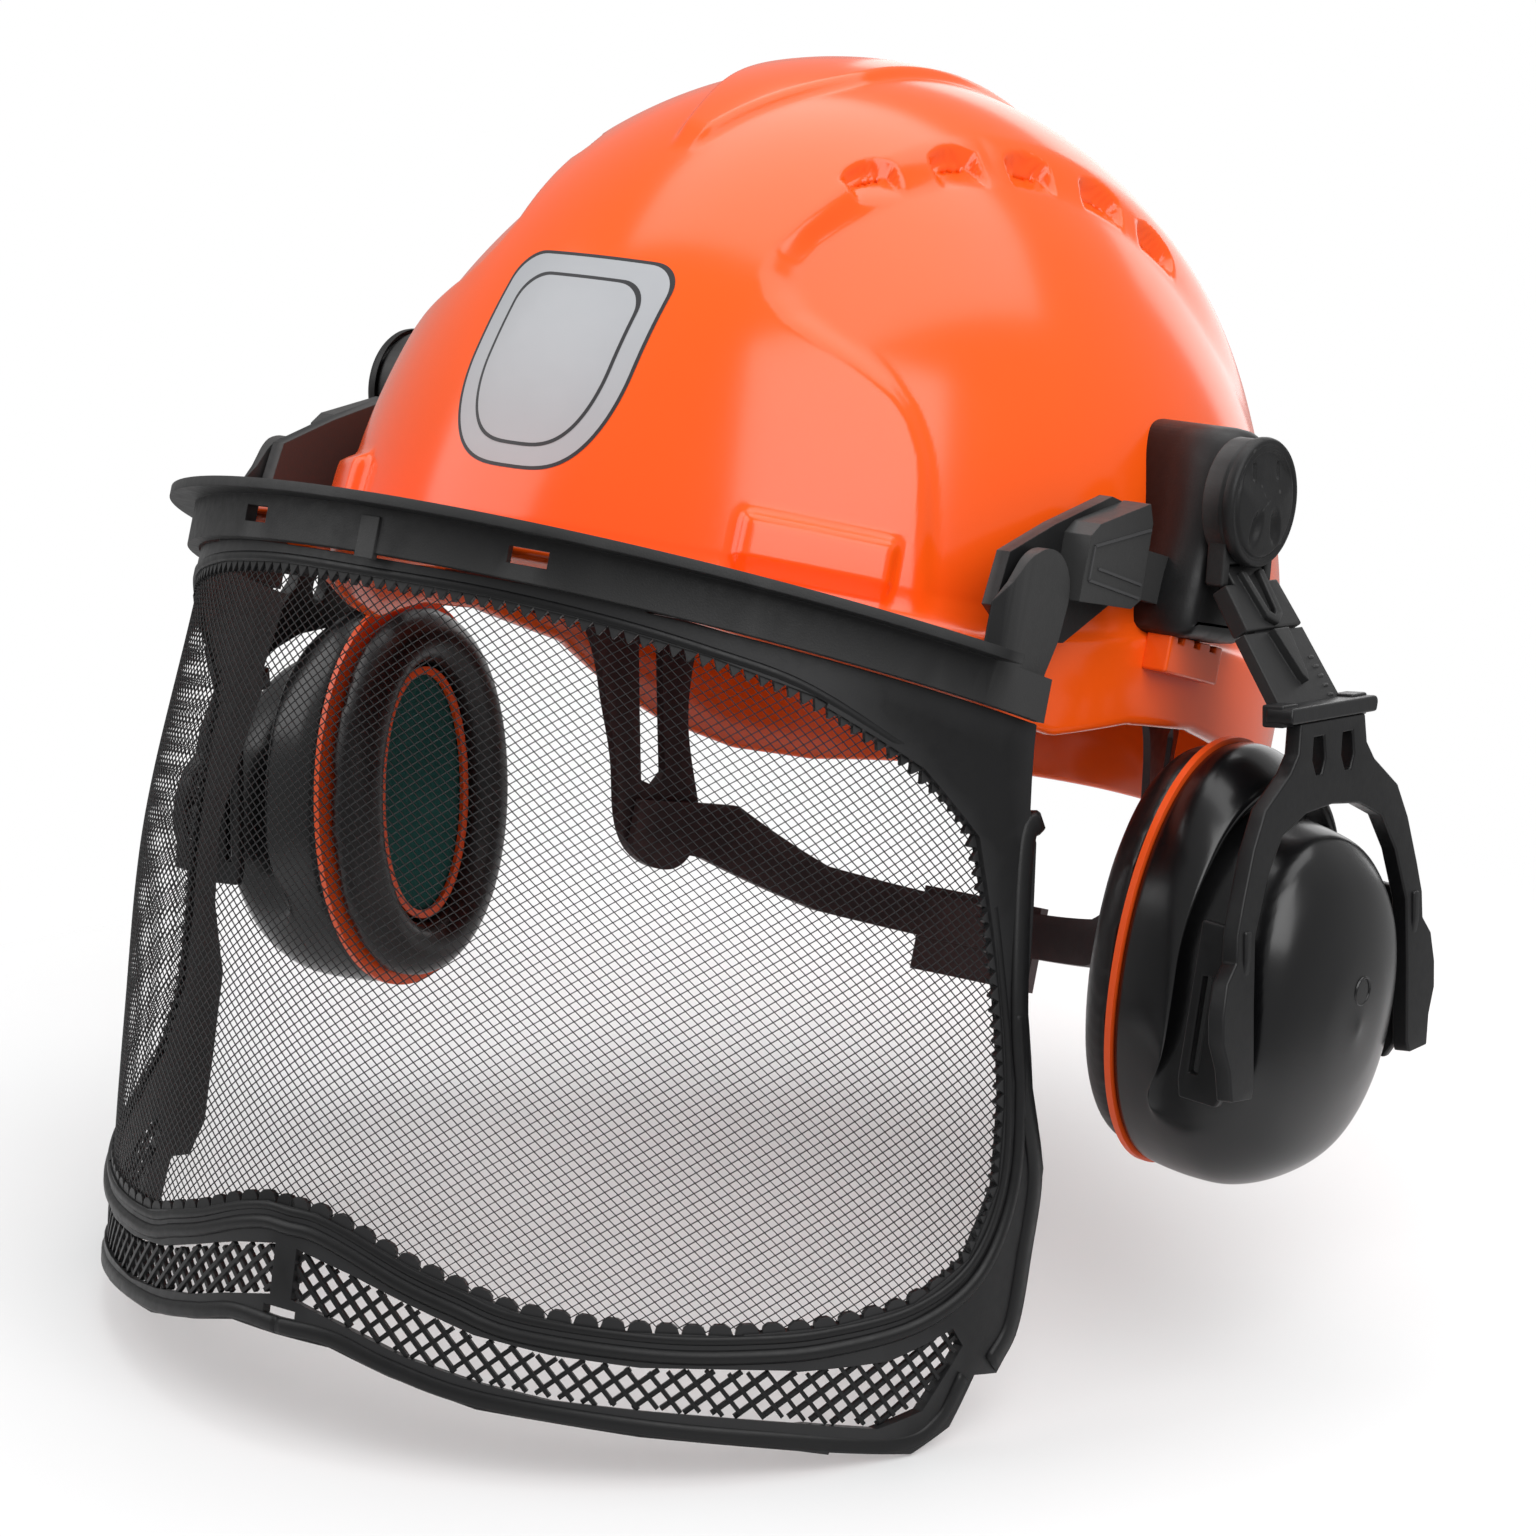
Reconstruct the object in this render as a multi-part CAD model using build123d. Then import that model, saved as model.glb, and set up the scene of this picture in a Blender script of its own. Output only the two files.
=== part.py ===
from build123d import *
from math import copysign, cos, hypot, pi, radians, sin
import os

# Forestry hard hat with a hinged mesh visor, two ear muffs and a head harness.
# Millimetres.  +Z is up as worn, -Y is the wearer's front, +X the wearer's left.
# The origin lies on the middle line at the height of the lower side rim.

# ---- shell -----------------------------------------------------------------
SHELL_CENTRE = (0, 4, 16)
SHELL_RADII = (106.6, 128.3, 136.7)
SHELL_WALL = 3.0
RIM_BAND_GAP = 2.2            # how far the rim band stands proud of the dome
RIM_BAND_TOP = 25
PEAK_RADIUS = 107             # plan radius of the peak's edge about the brim centre
PEAK_TOP = 19
PEAK_WALL = 3
PEAK_END_Y = -60              # behind this line the peak gives way to the side rims
REAR_RIM_Y = 62
RIM_PROFILE = [(-128, 14), (-90, 7), (-66, 4.5), (-42, 2), (-20, 8), (5, 10), (38, 6.5),
               (54, -1.5), (70, -8), (90, -12), (106, -11), (120, -7), (140, -2.5)]
VENT_PLACES = [(41, -64), (47, -46), (53, -28), (58, -11), (61, 6)]
VENT_SIZE = (11, 5)

# ---- visor holder ------------------------------------------------------------
BRIM_CENTRE_Y = -52           # the holder's band is an arc about this line
BAND_RADIUS = 113.5
BAND_WALL = 2.7
LIP_RADIUS = 119.5
LIP_INNER = 109.5
BAND_FRONT = (11.8, 19.0)     # lower and upper edge of the band in the middle
BAND_END = (3.6, 13.2)        # and at its rear ends
BAND_END_Y = -67
LIP_HEIGHT = 2.2
PIVOT_Y, PIVOT_Z = -73, 30.5
BRACKET_X = 107.4
BRACKET_WALL = 3.0
BRACKET_RADIUS = 10
BRACKET_OUTLINE = [(-114, 15.8), (-100, 19), (-91, 24), (-84, 31.5), (-81, 36.5), (-73, 30), (-63, 30),
                   (-64, 22), (-67, 14), (-67, 4), (-80, 5), (-100, 8)]
PIN_RADIUS = 3.0
RUNNING_GAP = 0.05

# ---- visor -------------------------------------------------------------------
# Each level: height, half width, how far forward the middle is, fullness of the curve.
VISOR_LEVELS = [(14, 110.3, -162.3, 2.0), (2, 110.6, -162.3, 2.0), (-60, 120.0, -157.4, 1.93),
                (-100, 121.5, -152.5, 1.8), (-137, 120.0, -148.0, 1.72), (-165, 115.0, -144.5, 1.72)]
VISOR_WALL = 2.4
MESH_WALL = 0.6
LEG_END_Y = -36
FRAME_TOP = 11
LATTICE_WALL = 1.2
# Outlines of the frame and its windows: the rear ones in (y, z), the others in (x, z).
FRAME_REAR = [(-65, 3), (-65, -15), (-62.5, -22), (-62.5, -55), (-56.5, -74), (-47.5, -91), (-45.5, -110),
              (-44.5, -128), (-48.5, -136.5), (-56, -137.2), (-59, -149), (-67, -155.7)]
WINDOW_REAR = [(-140, -135.6), (-107, -135.6), (-92, -130.5), (-77, -123), (-66, -112), (-62, -96),
               (-65, -77), (-71, -56), (-80.5, -23), (-95.5, -11), (-120, -1), (-140, -1)]
CHIN_TOP = [(0, -128.5), (7, -128.5), (16, -130.4), (30, -134.8), (41, -137.3), (54, -139.7), (70, -139.6),
            (92, -135.6)]
WINDOW_TOP = [(0, 7), (29, 7), (54, 5.6), (72, 3.3), (90, -1)]
LATTICE_TOP = [(3, -137), (17, -139.5), (30, -142.7), (45, -146.2), (60, -147), (76, -146), (100, -141)]
LATTICE_BOTTOM = [(3, -148), (17, -150.8), (31, -154.1), (46, -156), (60, -156.6), (77, -155), (100, -152.2)]
FRAME_FLOOR = [(0, -156.2), (14, -156), (28, -159), (47, -161.7), (77, -160.6), (101, -158), (122, -157.5)]
LATTICE_REAR = [(-96, -141.3), (-79, -136), (-66, -127.5), (-62, -131), (-68, -146), (-77, -151),
                (-96, -152.3)]

# ---- side adapters and carriers -----------------------------------------------
ADAPTER_X = (105, 117.6)
CARRIER_X = (100.8, 107.0)
COVER_X = (107.0, 112.4)
CARRIER_OUTLINE = [(-84, 26), (-82, 38), (-66, 46.5), (-45, 56), (-38, 55.5), (-36, 34), (-54, 22), (-72, 20)]
COVER_OUTLINE = [(-62, 31), (-62, 45.5), (-59, 48.5), (-40, 56), (-37.5, 52), (-36.5, 35), (-40, 32.5)]
ADAPTER_OUTLINE = [(-22, 31), (-23, 42), (-20.5, 60), (-18, 72), (-13, 77.5), (-8, 79), (-2, 78), (3.5, 73.5),
                   (6, 66), (6.5, 40), (5, 31), (-8, 28.5)]

# ---- ear muffs ---------------------------------------------------------------
HUB_CENTRE = (118.0, -14, 62)
HUB_RADIUS = 14
MUFF_LEAN = 12                # the whole muff arm leans back by this angle about the hub
ARM_HINGE = (2.6, 0, -16.8)   # from the hub centre, in the leaned frame
ARM_SWING = 37                # outward swing of the arm in the drawn position
ARM_PIN_RADIUS = 1.2
AXLE_RADIUS = 5
SLIDE_IN = 13                 # length of the slider inside the arm
YOKE_TOP = (25.4, 0, -44.3)
YOKE_SWING = 5.5
YOKE_HALF = 40.5
LEG_WIDTH = 8.4
RING_CENTRE = (-1, 0, -103.3)
CUP_TILT = 4.6
RING_RADII = (35, 50)
CUP_PIVOT_DEPTH = 30
CUP_PIN_RADIUS = 2
CUP_WALL = 2.6
CUP_SPLIT = 21                # depth where the skirt ends and the dome begins
CUSHION_DEPTH = 12
FOAM_FRONT = -4               # depth of the foam's face, inside the cushion's opening
# Each section of a cup: depth, half width, top, bottom, fullness of its oval.
CUP_SECTIONS = [(1.6, 34.2, 49.2, -49.2, 2.1), (8, 36, 49.4, -49.8, 2.1), (16, 36.4, 44.5, -49.6, 2.2),
                (24, 34.6, 36, -48.4, 2.3), (32, 31, 29, -44, 2.4), (39, 25, 20, -36, 2.4), (44, 14, 7, -22, 2.2)]

# ---- harness -----------------------------------------------------------------
BAND_RADII = (84, 100)
HEADBAND_WALL = 1.8
HEADBAND_Z = (12, 36)
STRAP_RISE = 86
HANGER_OUTLINE = [(24, 30), (56, 30), (57, 10), (58.5, -8), (64, -26), (66, -38), (62, -46), (52, -45), (45, -36),
                  (41, -22), (34, -6), (25, 10)]
NAPE_OUTLINE = [(48, -30), (72, -27), (90, -38), (130, -44), (130, -54), (90, -50), (66, -42), (48, -42)]

os.makedirs("parts", exist_ok=True)


def save(name, shape):
    shape.label = name
    export_step(shape, f"parts/{name}.step")


def save_pair(name, left):
    """The wearer's left piece is drawn; the right one is its mirror image."""
    save(f"{name}_left", left)
    save(f"{name}_right", mirror(left, about=Plane.YZ))


def cylinder_x(x0, x1, y, z, radius):
    return Pos((x0 + x1) / 2, y, z) * Rot(0, 90, 0) * Cylinder(radius, abs(x1 - x0))


def box_between(low, high):
    size = [b - a for a, b in zip(low, high)]
    middle = [(a + b) / 2 for a, b in zip(low, high)]
    return Pos(*middle) * Box(*size)


def side_plate(points, x0, x1):
    """A plate seen from the side: points are (y, z), the plate runs from x0 to x1."""
    face = make_face(Polyline(*[(x0, y, z) for y, z in points], close=True))
    return extrude(face, amount=x1 - x0, dir=(1, 0, 0))


def ellipsoid(shrink):
    radii = [r - shrink for r in SHELL_RADII]
    ball = Rot(0, 0, 90) * Sphere(1)
    return Pos(*SHELL_CENTRE) * scale(ball, by=tuple(float(r) for r in radii))


def plan_oval(rx, ry, y=5, z=0):
    return Pos(0, y, z) * Ellipse(rx, ry)


# ---- shell pieces --------------------------------------------------------------
def above_rim():
    curve = Spline(*[(0, y, z) for y, z in RIM_PROFILE])
    y0, z0 = RIM_PROFILE[0]
    y1, z1 = RIM_PROFILE[-1]
    rest = Polyline((0, y1, z1), (0, y1 + 40, z1), (0, y1 + 40, 200), (0, -200, 200), (0, -200, z0), (0, y0, z0))
    return extrude(make_face([curve, rest]), amount=130, dir=(1, 0, 0), both=True)


def make_shell():
    rim_top = RIM_BAND_TOP
    band = extrude(plan_oval(SHELL_RADII[0] + RIM_BAND_GAP - 2, SHELL_RADII[1] + 1, 4, -20), amount=rim_top + 20)
    peak = Pos(0, BRIM_CENTRE_Y, PEAK_TOP - PEAK_WALL) * Cylinder(
        PEAK_RADIUS, PEAK_WALL, align=(Align.CENTER, Align.CENTER, Align.MIN))
    peak = peak & box_between((-120, -200, 0), (120, PEAK_END_Y, 60))
    outer = (ellipsoid(0) & box_between((-150, -150, 12), (150, 150, 200))) + band
    outer = outer & above_rim()
    hollow = ellipsoid(SHELL_WALL) & box_between((-150, -150, 16), (150, 150, 200))
    inner_oval = plan_oval(SHELL_RADII[0] - SHELL_WALL, SHELL_RADII[1] - SHELL_WALL, 4, -40)
    hollow = hollow + extrude(inner_oval, amount=56)
    shell = (outer + peak) - hollow
    for x, y in VENT_PLACES:
        for side in (-1, 1):
            shell -= Pos(side * x, y, 130) * Box(*VENT_SIZE, 60)
    return shell


def split_shell(shell):
    """The dome, the front with its peak, the left rim and the rear rim of the one moulding."""
    dome = shell & box_between((-200, -200, RIM_BAND_TOP), (200, 200, 200))
    front = shell & box_between((-200, -200, -50), (200, PEAK_END_Y, RIM_BAND_TOP))
    side = shell & box_between((0, PEAK_END_Y, -50), (200, REAR_RIM_Y, RIM_BAND_TOP))
    rear = shell & box_between((-200, REAR_RIM_Y, -50), (200, 200, RIM_BAND_TOP))
    return dome, front, side, rear


def make_emblem():
    """A plain rounded shield that lies on the front of the dome."""
    half = 23
    face = make_face(Polyline((-half, 47), (0, 36), (half, 47), (half, 88), (-half, 88), close=True))
    face = fillet(face.vertices(), 8)
    column = extrude(Plane.XZ.offset(90) * face, amount=50)
    skin = ellipsoid(-0.9) - ellipsoid(-0.05)
    return skin & column


# ---- visor holder, carriers ------------------------------------------------------
def arc_ring(inner, outer, z0, z1):
    ring = Cylinder(outer, z1 - z0) - Cylinder(inner, z1 - z0)
    return Pos(0, BRIM_CENTRE_Y, (z0 + z1) / 2) * ring


def make_holder():
    """The band round the brim with its lip, side brackets and middle clip."""
    front = -200
    lift = (BAND_FRONT[0] - BAND_END[0]) / (BRIM_CENTRE_Y - BAND_RADIUS - BAND_END_Y)
    low_front = BAND_END[0] + lift * (front - BAND_END_Y)
    high_front = BAND_END[1] + (low_front - BAND_END[0])
    outline = [(BAND_END_Y, BAND_END[0]), (front, low_front), (front, high_front), (BAND_END_Y, BAND_END[1])]
    lip_line = [(BAND_END_Y, BAND_END[1]), (front, high_front),
                (front, high_front + LIP_HEIGHT), (BAND_END_Y, BAND_END[1] + LIP_HEIGHT)]
    holder = arc_ring(BAND_RADIUS - BAND_WALL, BAND_RADIUS, -10, 45) & side_plate(outline, -130, 130)
    lip = arc_ring(LIP_INNER, LIP_RADIUS, -10, 45) & side_plate(lip_line, -130, 130)
    lip = lip & box_between((-130, -200, -10), (130, -84, 60))
    holder = holder + lip
    for side in (-1, 1):
        slot = Pos(side * 38, -159, 16.5) * Rot(0, 0, side * 19) * Box(9, 12, 3.6)
        holder = holder - slot
        holder = holder + make_bracket(side)
    holder = holder + Pos(0, -165.2, 15) * Box(5, 1.6, 9)
    return holder


def make_bracket(side):
    """The cheek that reaches from the band up to the pivot."""
    x0 = BRACKET_X
    plate = side_plate(BRACKET_OUTLINE, x0, x0 + BRACKET_WALL)
    plate = plate + cylinder_x(x0, x0 + BRACKET_WALL, PIVOT_Y, PIVOT_Z, BRACKET_RADIUS)
    plate = plate & arc_ring(60, BAND_RADIUS, -10, 45)
    plate = plate - cylinder_x(x0 - 1, x0 + 1.8, PIVOT_Y, PIVOT_Z, PIN_RADIUS + RUNNING_GAP)
    return plate if side > 0 else mirror(plate, about=Plane.YZ)


def make_carrier():
    plate = side_plate(CARRIER_OUTLINE, CARRIER_X[0] + 1.2, CARRIER_X[1] - 1.6)
    tongue = box_between((105.4, -40, 35.5), (108.4, -14, 46.5))
    pin = cylinder_x(CARRIER_X[1] - 3, BRACKET_X + 1.7, PIVOT_Y, PIVOT_Z, PIN_RADIUS)
    bearing = cylinder_x(CARRIER_X[1] - 2, CARRIER_X[1], PIVOT_Y, PIVOT_Z, 7)
    return plate + tongue + pin + bearing


def make_cover():
    cover = side_plate(COVER_OUTLINE, CARRIER_X[1] - 1.6, COVER_X[1])
    return cover - box_between((104, -41, 35.3), (108.6, -30, 46.7))


# ---- visor -----------------------------------------------------------------------
def level_points(level, inset, count=12):
    z, half_width, front, fullness = level
    reach = BRIM_CENTRE_Y - front - inset
    wide = half_width - inset
    points = [(wide, LEG_END_Y, z)]
    for step in range(count + 1):
        turn = pi * step / count
        across = cos(turn)
        ahead = sin(turn)
        x = wide * (1 if across >= 0 else -1) * abs(across) ** (2 / fullness)
        points.append((x, BRIM_CENTRE_Y - reach * abs(ahead) ** (2 / fullness), z))
    points.append((-wide, LEG_END_Y, z))
    return points


def visor_block(inset):
    """The whole space inside the visor's curved surface, moved in by inset."""
    sections = []
    for level in VISOR_LEVELS:
        points = level_points(level, inset)
        curve = Spline(*points)
        sections.append(make_face([curve, Line(points[-1], points[0])]))
    return loft(sections)


def front_plate(points, y0=-200, y1=-60):
    """A plate seen from the front: points are (x, z)."""
    face = make_face(Polyline(*[(x, y0, z) for x, z in points], close=True))
    return extrude(face, amount=y1 - y0, dir=(0, 1, 0))


def window_cutter():
    upper = [(-x, z) for x, z in reversed(WINDOW_TOP)] + WINDOW_TOP[1:]
    lower = list(reversed(CHIN_TOP)) + [(-x, z) for x, z in CHIN_TOP[1:]]
    front = front_plate(upper + lower, y1=-95)
    side = side_plate(WINDOW_REAR, 80, 140)
    return front + side + mirror(side, about=Plane.YZ)


def lattice_cutter(side):
    front = front_plate(LATTICE_TOP + LATTICE_BOTTOM[::-1], y1=-90)
    rear = side_plate(LATTICE_REAR, 90, 140)
    cut = front + rear
    return cut if side > 0 else mirror(cut, about=Plane.YZ)


def visor_skin(wall, inset):
    return visor_block(inset) - visor_block(inset + wall)


def frame_region():
    """The visor frame's outline: from the front up to its bend, from the side past that."""
    sag = [(-x, z) for x, z in reversed(FRAME_FLOOR)] + FRAME_FLOOR[1:]
    front = front_plate(sag + [(122, FRAME_TOP), (-122, FRAME_TOP)], y1=-85)
    under_band = side_plate([(-200, 14.4), (-67, 3.3), (0, 3.3), (0, -170), (-200, -170)], -140, 140)
    behind_band = box_between((-60, -200, 0), (60, -100, 20))
    rear = [(-86, FRAME_TOP)] + FRAME_REAR + [(-86, -157.5)]
    return (front & (under_band + behind_band)) + (side_plate(rear, -140, 140) & under_band)


def make_visor():
    skin = visor_skin(VISOR_WALL, 0) & frame_region()
    window = window_cutter()
    cutters = [lattice_cutter(1), lattice_cutter(-1)]
    slot = box_between((-4.5, -160, -153), (4.5, -130, -150.4))
    frame = skin - window - cutters[0] - cutters[1] - slot
    mesh = visor_skin(MESH_WALL, (VISOR_WALL - MESH_WALL) / 2) & window
    lattice_skin = visor_skin(LATTICE_WALL, (VISOR_WALL - LATTICE_WALL) / 2)
    lattices = [lattice_skin & cutter for cutter in cutters]
    return frame, mesh, lattices


# ---- ear muffs ---------------------------------------------------------------------
def muff_place():
    return Pos(*HUB_CENTRE) * Rot(MUFF_LEAN, 0, 0)


def arm_place():
    return muff_place() * Pos(*ARM_HINGE) * Rot(0, -ARM_SWING, 0)


def yoke_place():
    return muff_place() * Pos(*YOKE_TOP) * Rot(0, -YOKE_SWING, 0)


def cup_place():
    return muff_place() * Pos(*RING_CENTRE) * Rot(0, CUP_TILT, 0)


def flat_plate(points, x0, x1):
    """A flat piece facing outward: points are (across, up)."""
    face = make_face(Polyline(*[(x0, y, z) for y, z in points], close=True))
    return extrude(face, amount=x1 - x0, dir=(1, 0, 0))


def make_adapter():
    """The block between the dome and the muff's hub, and the foot that plugs in below the rim."""
    body = side_plate(ADAPTER_OUTLINE, ADAPTER_X[0] - 5, ADAPTER_X[1])
    body = body - ellipsoid(-0.3)
    body = body - box_between((90, -200, -50), (109.2, 200, 30.2))
    body = body - box_between((105.2, -30, 35.3), (108.6, -13, 46.7))
    foot = box_between((109.3, -18, 22), (111.5, 2, 28.2))
    return body, foot


def make_axle():
    """The hollow stub that the arm hub turns on."""
    axle = cylinder_x(ADAPTER_X[1], ADAPTER_X[1] + 3.4, HUB_CENTRE[1], HUB_CENTRE[2], AXLE_RADIUS)
    return axle - cylinder_x(ADAPTER_X[1] - 1, ADAPTER_X[1] + 5, HUB_CENTRE[1], HUB_CENTRE[2], 1.6)


def make_hub():
    x0 = ADAPTER_X[1] + 0.3
    disc = cylinder_x(x0, x0 + 6.2, HUB_CENTRE[1], HUB_CENTRE[2], HUB_RADIUS)
    disc = fillet(disc.edges().filter_by(GeomType.CIRCLE).sort_by(Axis.X)[-1], 2.2)
    bore = cylinder_x(x0 - 1, x0 + 3.2, HUB_CENTRE[1], HUB_CENTRE[2], AXLE_RADIUS + RUNNING_GAP)
    pin = muff_place() * Pos(*ARM_HINGE) * Rot(90, 0, 0) * Cylinder(ARM_PIN_RADIUS, 20)
    hub = disc - bore + pin
    for side in (-1, 1):
        lug = Pos(0, side * 9, 0) * box_between((-2.2, -1.0, -2), (2.0, 1.0, 7.5))
        hub = hub + muff_place() * Pos(*ARM_HINGE) * lug
    return hub


def make_arm():
    outline = [(-7.7, 1.5), (7.7, 1.5), (7.7, -2.9), (12, -2.9), (12.6, -22), (-12.6, -22), (-12, -2.9),
               (-7.7, -2.9)]
    plate = flat_plate(outline, -2, 2.2)
    for side in (-1, 1):
        rib = [(side * 3 - 1.3, -4), (side * 3 + 1.3, -4), (side * 1.6 + 1, -19), (side * 1.6 - 1, -19)]
        plate = plate + flat_plate(rib, 2, 3.4)
    plate = plate - flat_plate([(-8.2, -7), (8.2, -7), (8.2, -30), (-8.2, -30)], -0.95, 0.95)
    bore = Rot(90, 0, 0) * Cylinder(ARM_PIN_RADIUS + RUNNING_GAP, 40)
    return arm_place() * (plate - bore)


def make_slider():
    outline = [(-8, -22 + SLIDE_IN), (8, -22 + SLIDE_IN), (8, -22.6), (13, -24), (13, -36), (-13, -36), (-13, -24),
               (-8, -22.6)]
    plate = flat_plate(outline, -0.9, 0.9)
    wedge = flat_plate([(-2.8, -24), (2.8, -24), (0, -33)], 0.8, 2.4)
    return arm_place() * (plate + wedge)


def make_yoke():
    """Crossbar, two legs that straddle the cup, and the inward pins it swivels on."""
    half = YOKE_HALF
    wide = LEG_WIDTH / 2
    bar = flat_plate([(-20, -1.6), (20, -1.6), (20, 2.4), (-20, 2.4)], -2, 4.6)
    left = [(13, -1.5), (15, -9), (31, -19), (half + 1, -39), (half + wide, -46), (half + wide, -75),
            (half + 1, -80), (half - wide, -80), (half - wide, -49), (half - 11, -36), (17, -22)]
    right = [(-y, z) for y, z in reversed(left)]
    frame = flat_plate(left + right, 0.4, 4.4)
    for side in (-1, 1):
        middle = side * 6.5
        slot = [(middle - 2.4, -4), (middle + 2.4, -4), (middle + 3, -11), (middle - 3, -11)]
        frame = frame - flat_plate(slot, -1, 5)
    yoke = yoke_place() * (bar + frame)
    for side in (-1, 1):
        pin = Rot(90, 0, 0) * Cylinder(CUP_PIN_RADIUS, 7)
        foot = box_between((-4, -2.5, -6), (5.4, 2.5, 6))
        yoke = yoke + cup_place() * Pos(CUP_PIVOT_DEPTH, side * 36.6, -3) * pin
        yoke = yoke + cup_place() * Pos(CUP_PIVOT_DEPTH, side * 41, -3) * foot
    return yoke


def oval_face(depth, half_width, top, bottom, fullness, count=24):
    middle = (top + bottom) / 2
    half_height = (top - bottom) / 2
    points = []
    for step in range(count):
        turn = 2 * pi * step / count
        across = half_width * copysign(abs(cos(turn)) ** (2 / fullness), cos(turn))
        up = half_height * copysign(abs(sin(turn)) ** (2 / fullness), sin(turn))
        points.append((depth, across, middle + up))
    return make_face(Spline(*points, periodic=True))


def muff_oval(depth, shrink):
    return oval_face(depth, RING_RADII[0] - shrink, RING_RADII[1] - shrink, shrink - RING_RADII[1], 2.1)


def make_cup():
    """A cup in two pieces of one moulding: the skirt by the ring and the dome past it."""
    outer = loft([oval_face(*section) for section in CUP_SECTIONS])
    inner = loft([oval_face(depth, wide - CUP_WALL, top - CUP_WALL, bottom + CUP_WALL, fullness)
                  for depth, wide, top, bottom, fullness in CUP_SECTIONS[:-1]])
    cup = outer - inner
    for side in (-1, 1):
        block = box_between((CUP_PIVOT_DEPTH - 4, 27, -9), (CUP_PIVOT_DEPTH + 4, 35.6, 3))
        hole = Pos(CUP_PIVOT_DEPTH, 34.6, -3) * Rot(90, 0, 0) * Cylinder(CUP_PIN_RADIUS + RUNNING_GAP, 3.4)
        if side < 0:
            block = mirror(block, about=Plane.XZ)
            hole = mirror(hole, about=Plane.XZ)
        cup = cup + (block - inner) - hole
    skirt = cup & box_between((-10, -60, -60), (CUP_SPLIT, 60, 60))
    dome = cup & box_between((CUP_SPLIT, -60, -60), (60, 60, 60))
    return cup_place() * skirt, cup_place() * dome


def ring_solid(inner, outer, depth0, depth1):
    """An oval ring about the muff's middle, shrunk by inner and outer, between two depths."""
    big = extrude(muff_oval(depth0, outer), amount=depth1 - depth0, dir=(1, 0, 0))
    small = extrude(muff_oval(depth0, inner), amount=depth1 - depth0, dir=(1, 0, 0))
    return cup_place() * (big - small)


def make_foam():
    plug = extrude(muff_oval(FOAM_FRONT, 17.4), amount=12, dir=(1, 0, 0))
    return cup_place() * (plug + extrude(muff_oval(6, 9), amount=8, dir=(1, 0, 0)))


def make_cushion():
    outer = loft([muff_oval(-0.3, 1.2), muff_oval(-5, 1.6), muff_oval(-9.5, 4.5), muff_oval(-CUSHION_DEPTH, 8.5)])
    hole = extrude(muff_oval(-CUSHION_DEPTH - 1, 17), amount=CUSHION_DEPTH + 2, dir=(1, 0, 0))
    return cup_place() * (outer - hole)


# ---- harness -------------------------------------------------------------------------
def oval_strip(rx, ry, wall, z0, z1):
    big = extrude(plan_oval(rx, ry, 5, z0), amount=z1 - z0)
    small = extrude(plan_oval(rx - wall, ry - wall, 5, z0), amount=z1 - z0)
    return big - small


def make_headband():
    """An oval band open at the nape."""
    strip = oval_strip(*BAND_RADII, HEADBAND_WALL, *HEADBAND_Z)
    return strip & box_between((-100, -110, -20), (100, 60, 60))


def make_hangers():
    """The slotted plate that hangs from each end of the headband, and its lug on the shell."""
    outline = Spline(*[(20, y, z) for y, z in HANGER_OUTLINE], periodic=True)
    ring = oval_strip(BAND_RADII[0] + 2.2, BAND_RADII[1] + 2.2, 2.0, -60, 40)
    left = ring & extrude(make_face(outline), amount=120, dir=(1, 0, 0))
    left = left - side_plate([(41, 9), (44, 12), (48, 9), (55, -22), (53, -26), (49, -25)], 20, 140)
    for start in (50, 56):
        hole = [(start, -31), (start + 3.4, -31), (start + 5.4, -38), (start + 2, -38)]
        left = left - side_plate(hole, 20, 140)
    lug = box_between((88, 24, 12), (103, 34, 22)) & (ellipsoid(SHELL_WALL + 0.1))
    return left, lug


def make_nape():
    ring = oval_strip(BAND_RADII[0] - 0.3, BAND_RADII[1] - 0.3, 1.8, -70, 0)
    return ring & side_plate(NAPE_OUTLINE, -110, 110)


def make_buckle():
    block = box_between((-18, 95, -60), (18, 112.5, -38))
    outer = extrude(plan_oval(BAND_RADII[0] + 2.7, BAND_RADII[1] + 3.2, 5, -60), amount=22)
    inner = extrude(plan_oval(BAND_RADII[0] - 0.3, BAND_RADII[1] - 0.3, 5, -61), amount=24)
    return (outer - inner) & block


def crown_strap(angle, lift):
    """A webbing strap that arches over the head from one side of the band to the other."""
    reach = 1 / hypot(cos(radians(angle)) / 80, sin(radians(angle)) / 96)
    height = STRAP_RISE + lift
    arch = Ellipse(reach, height) - Ellipse(reach - 1.4, height - 1.4)
    arch = arch & Pos(0, height / 2) * Rectangle(3 * reach, height)
    strap = extrude(Plane.XZ * arch, amount=9, both=True)
    return Pos(0, 5, HEADBAND_Z[1] + 0.4) * Rot(0, 0, angle) * strap


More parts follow.
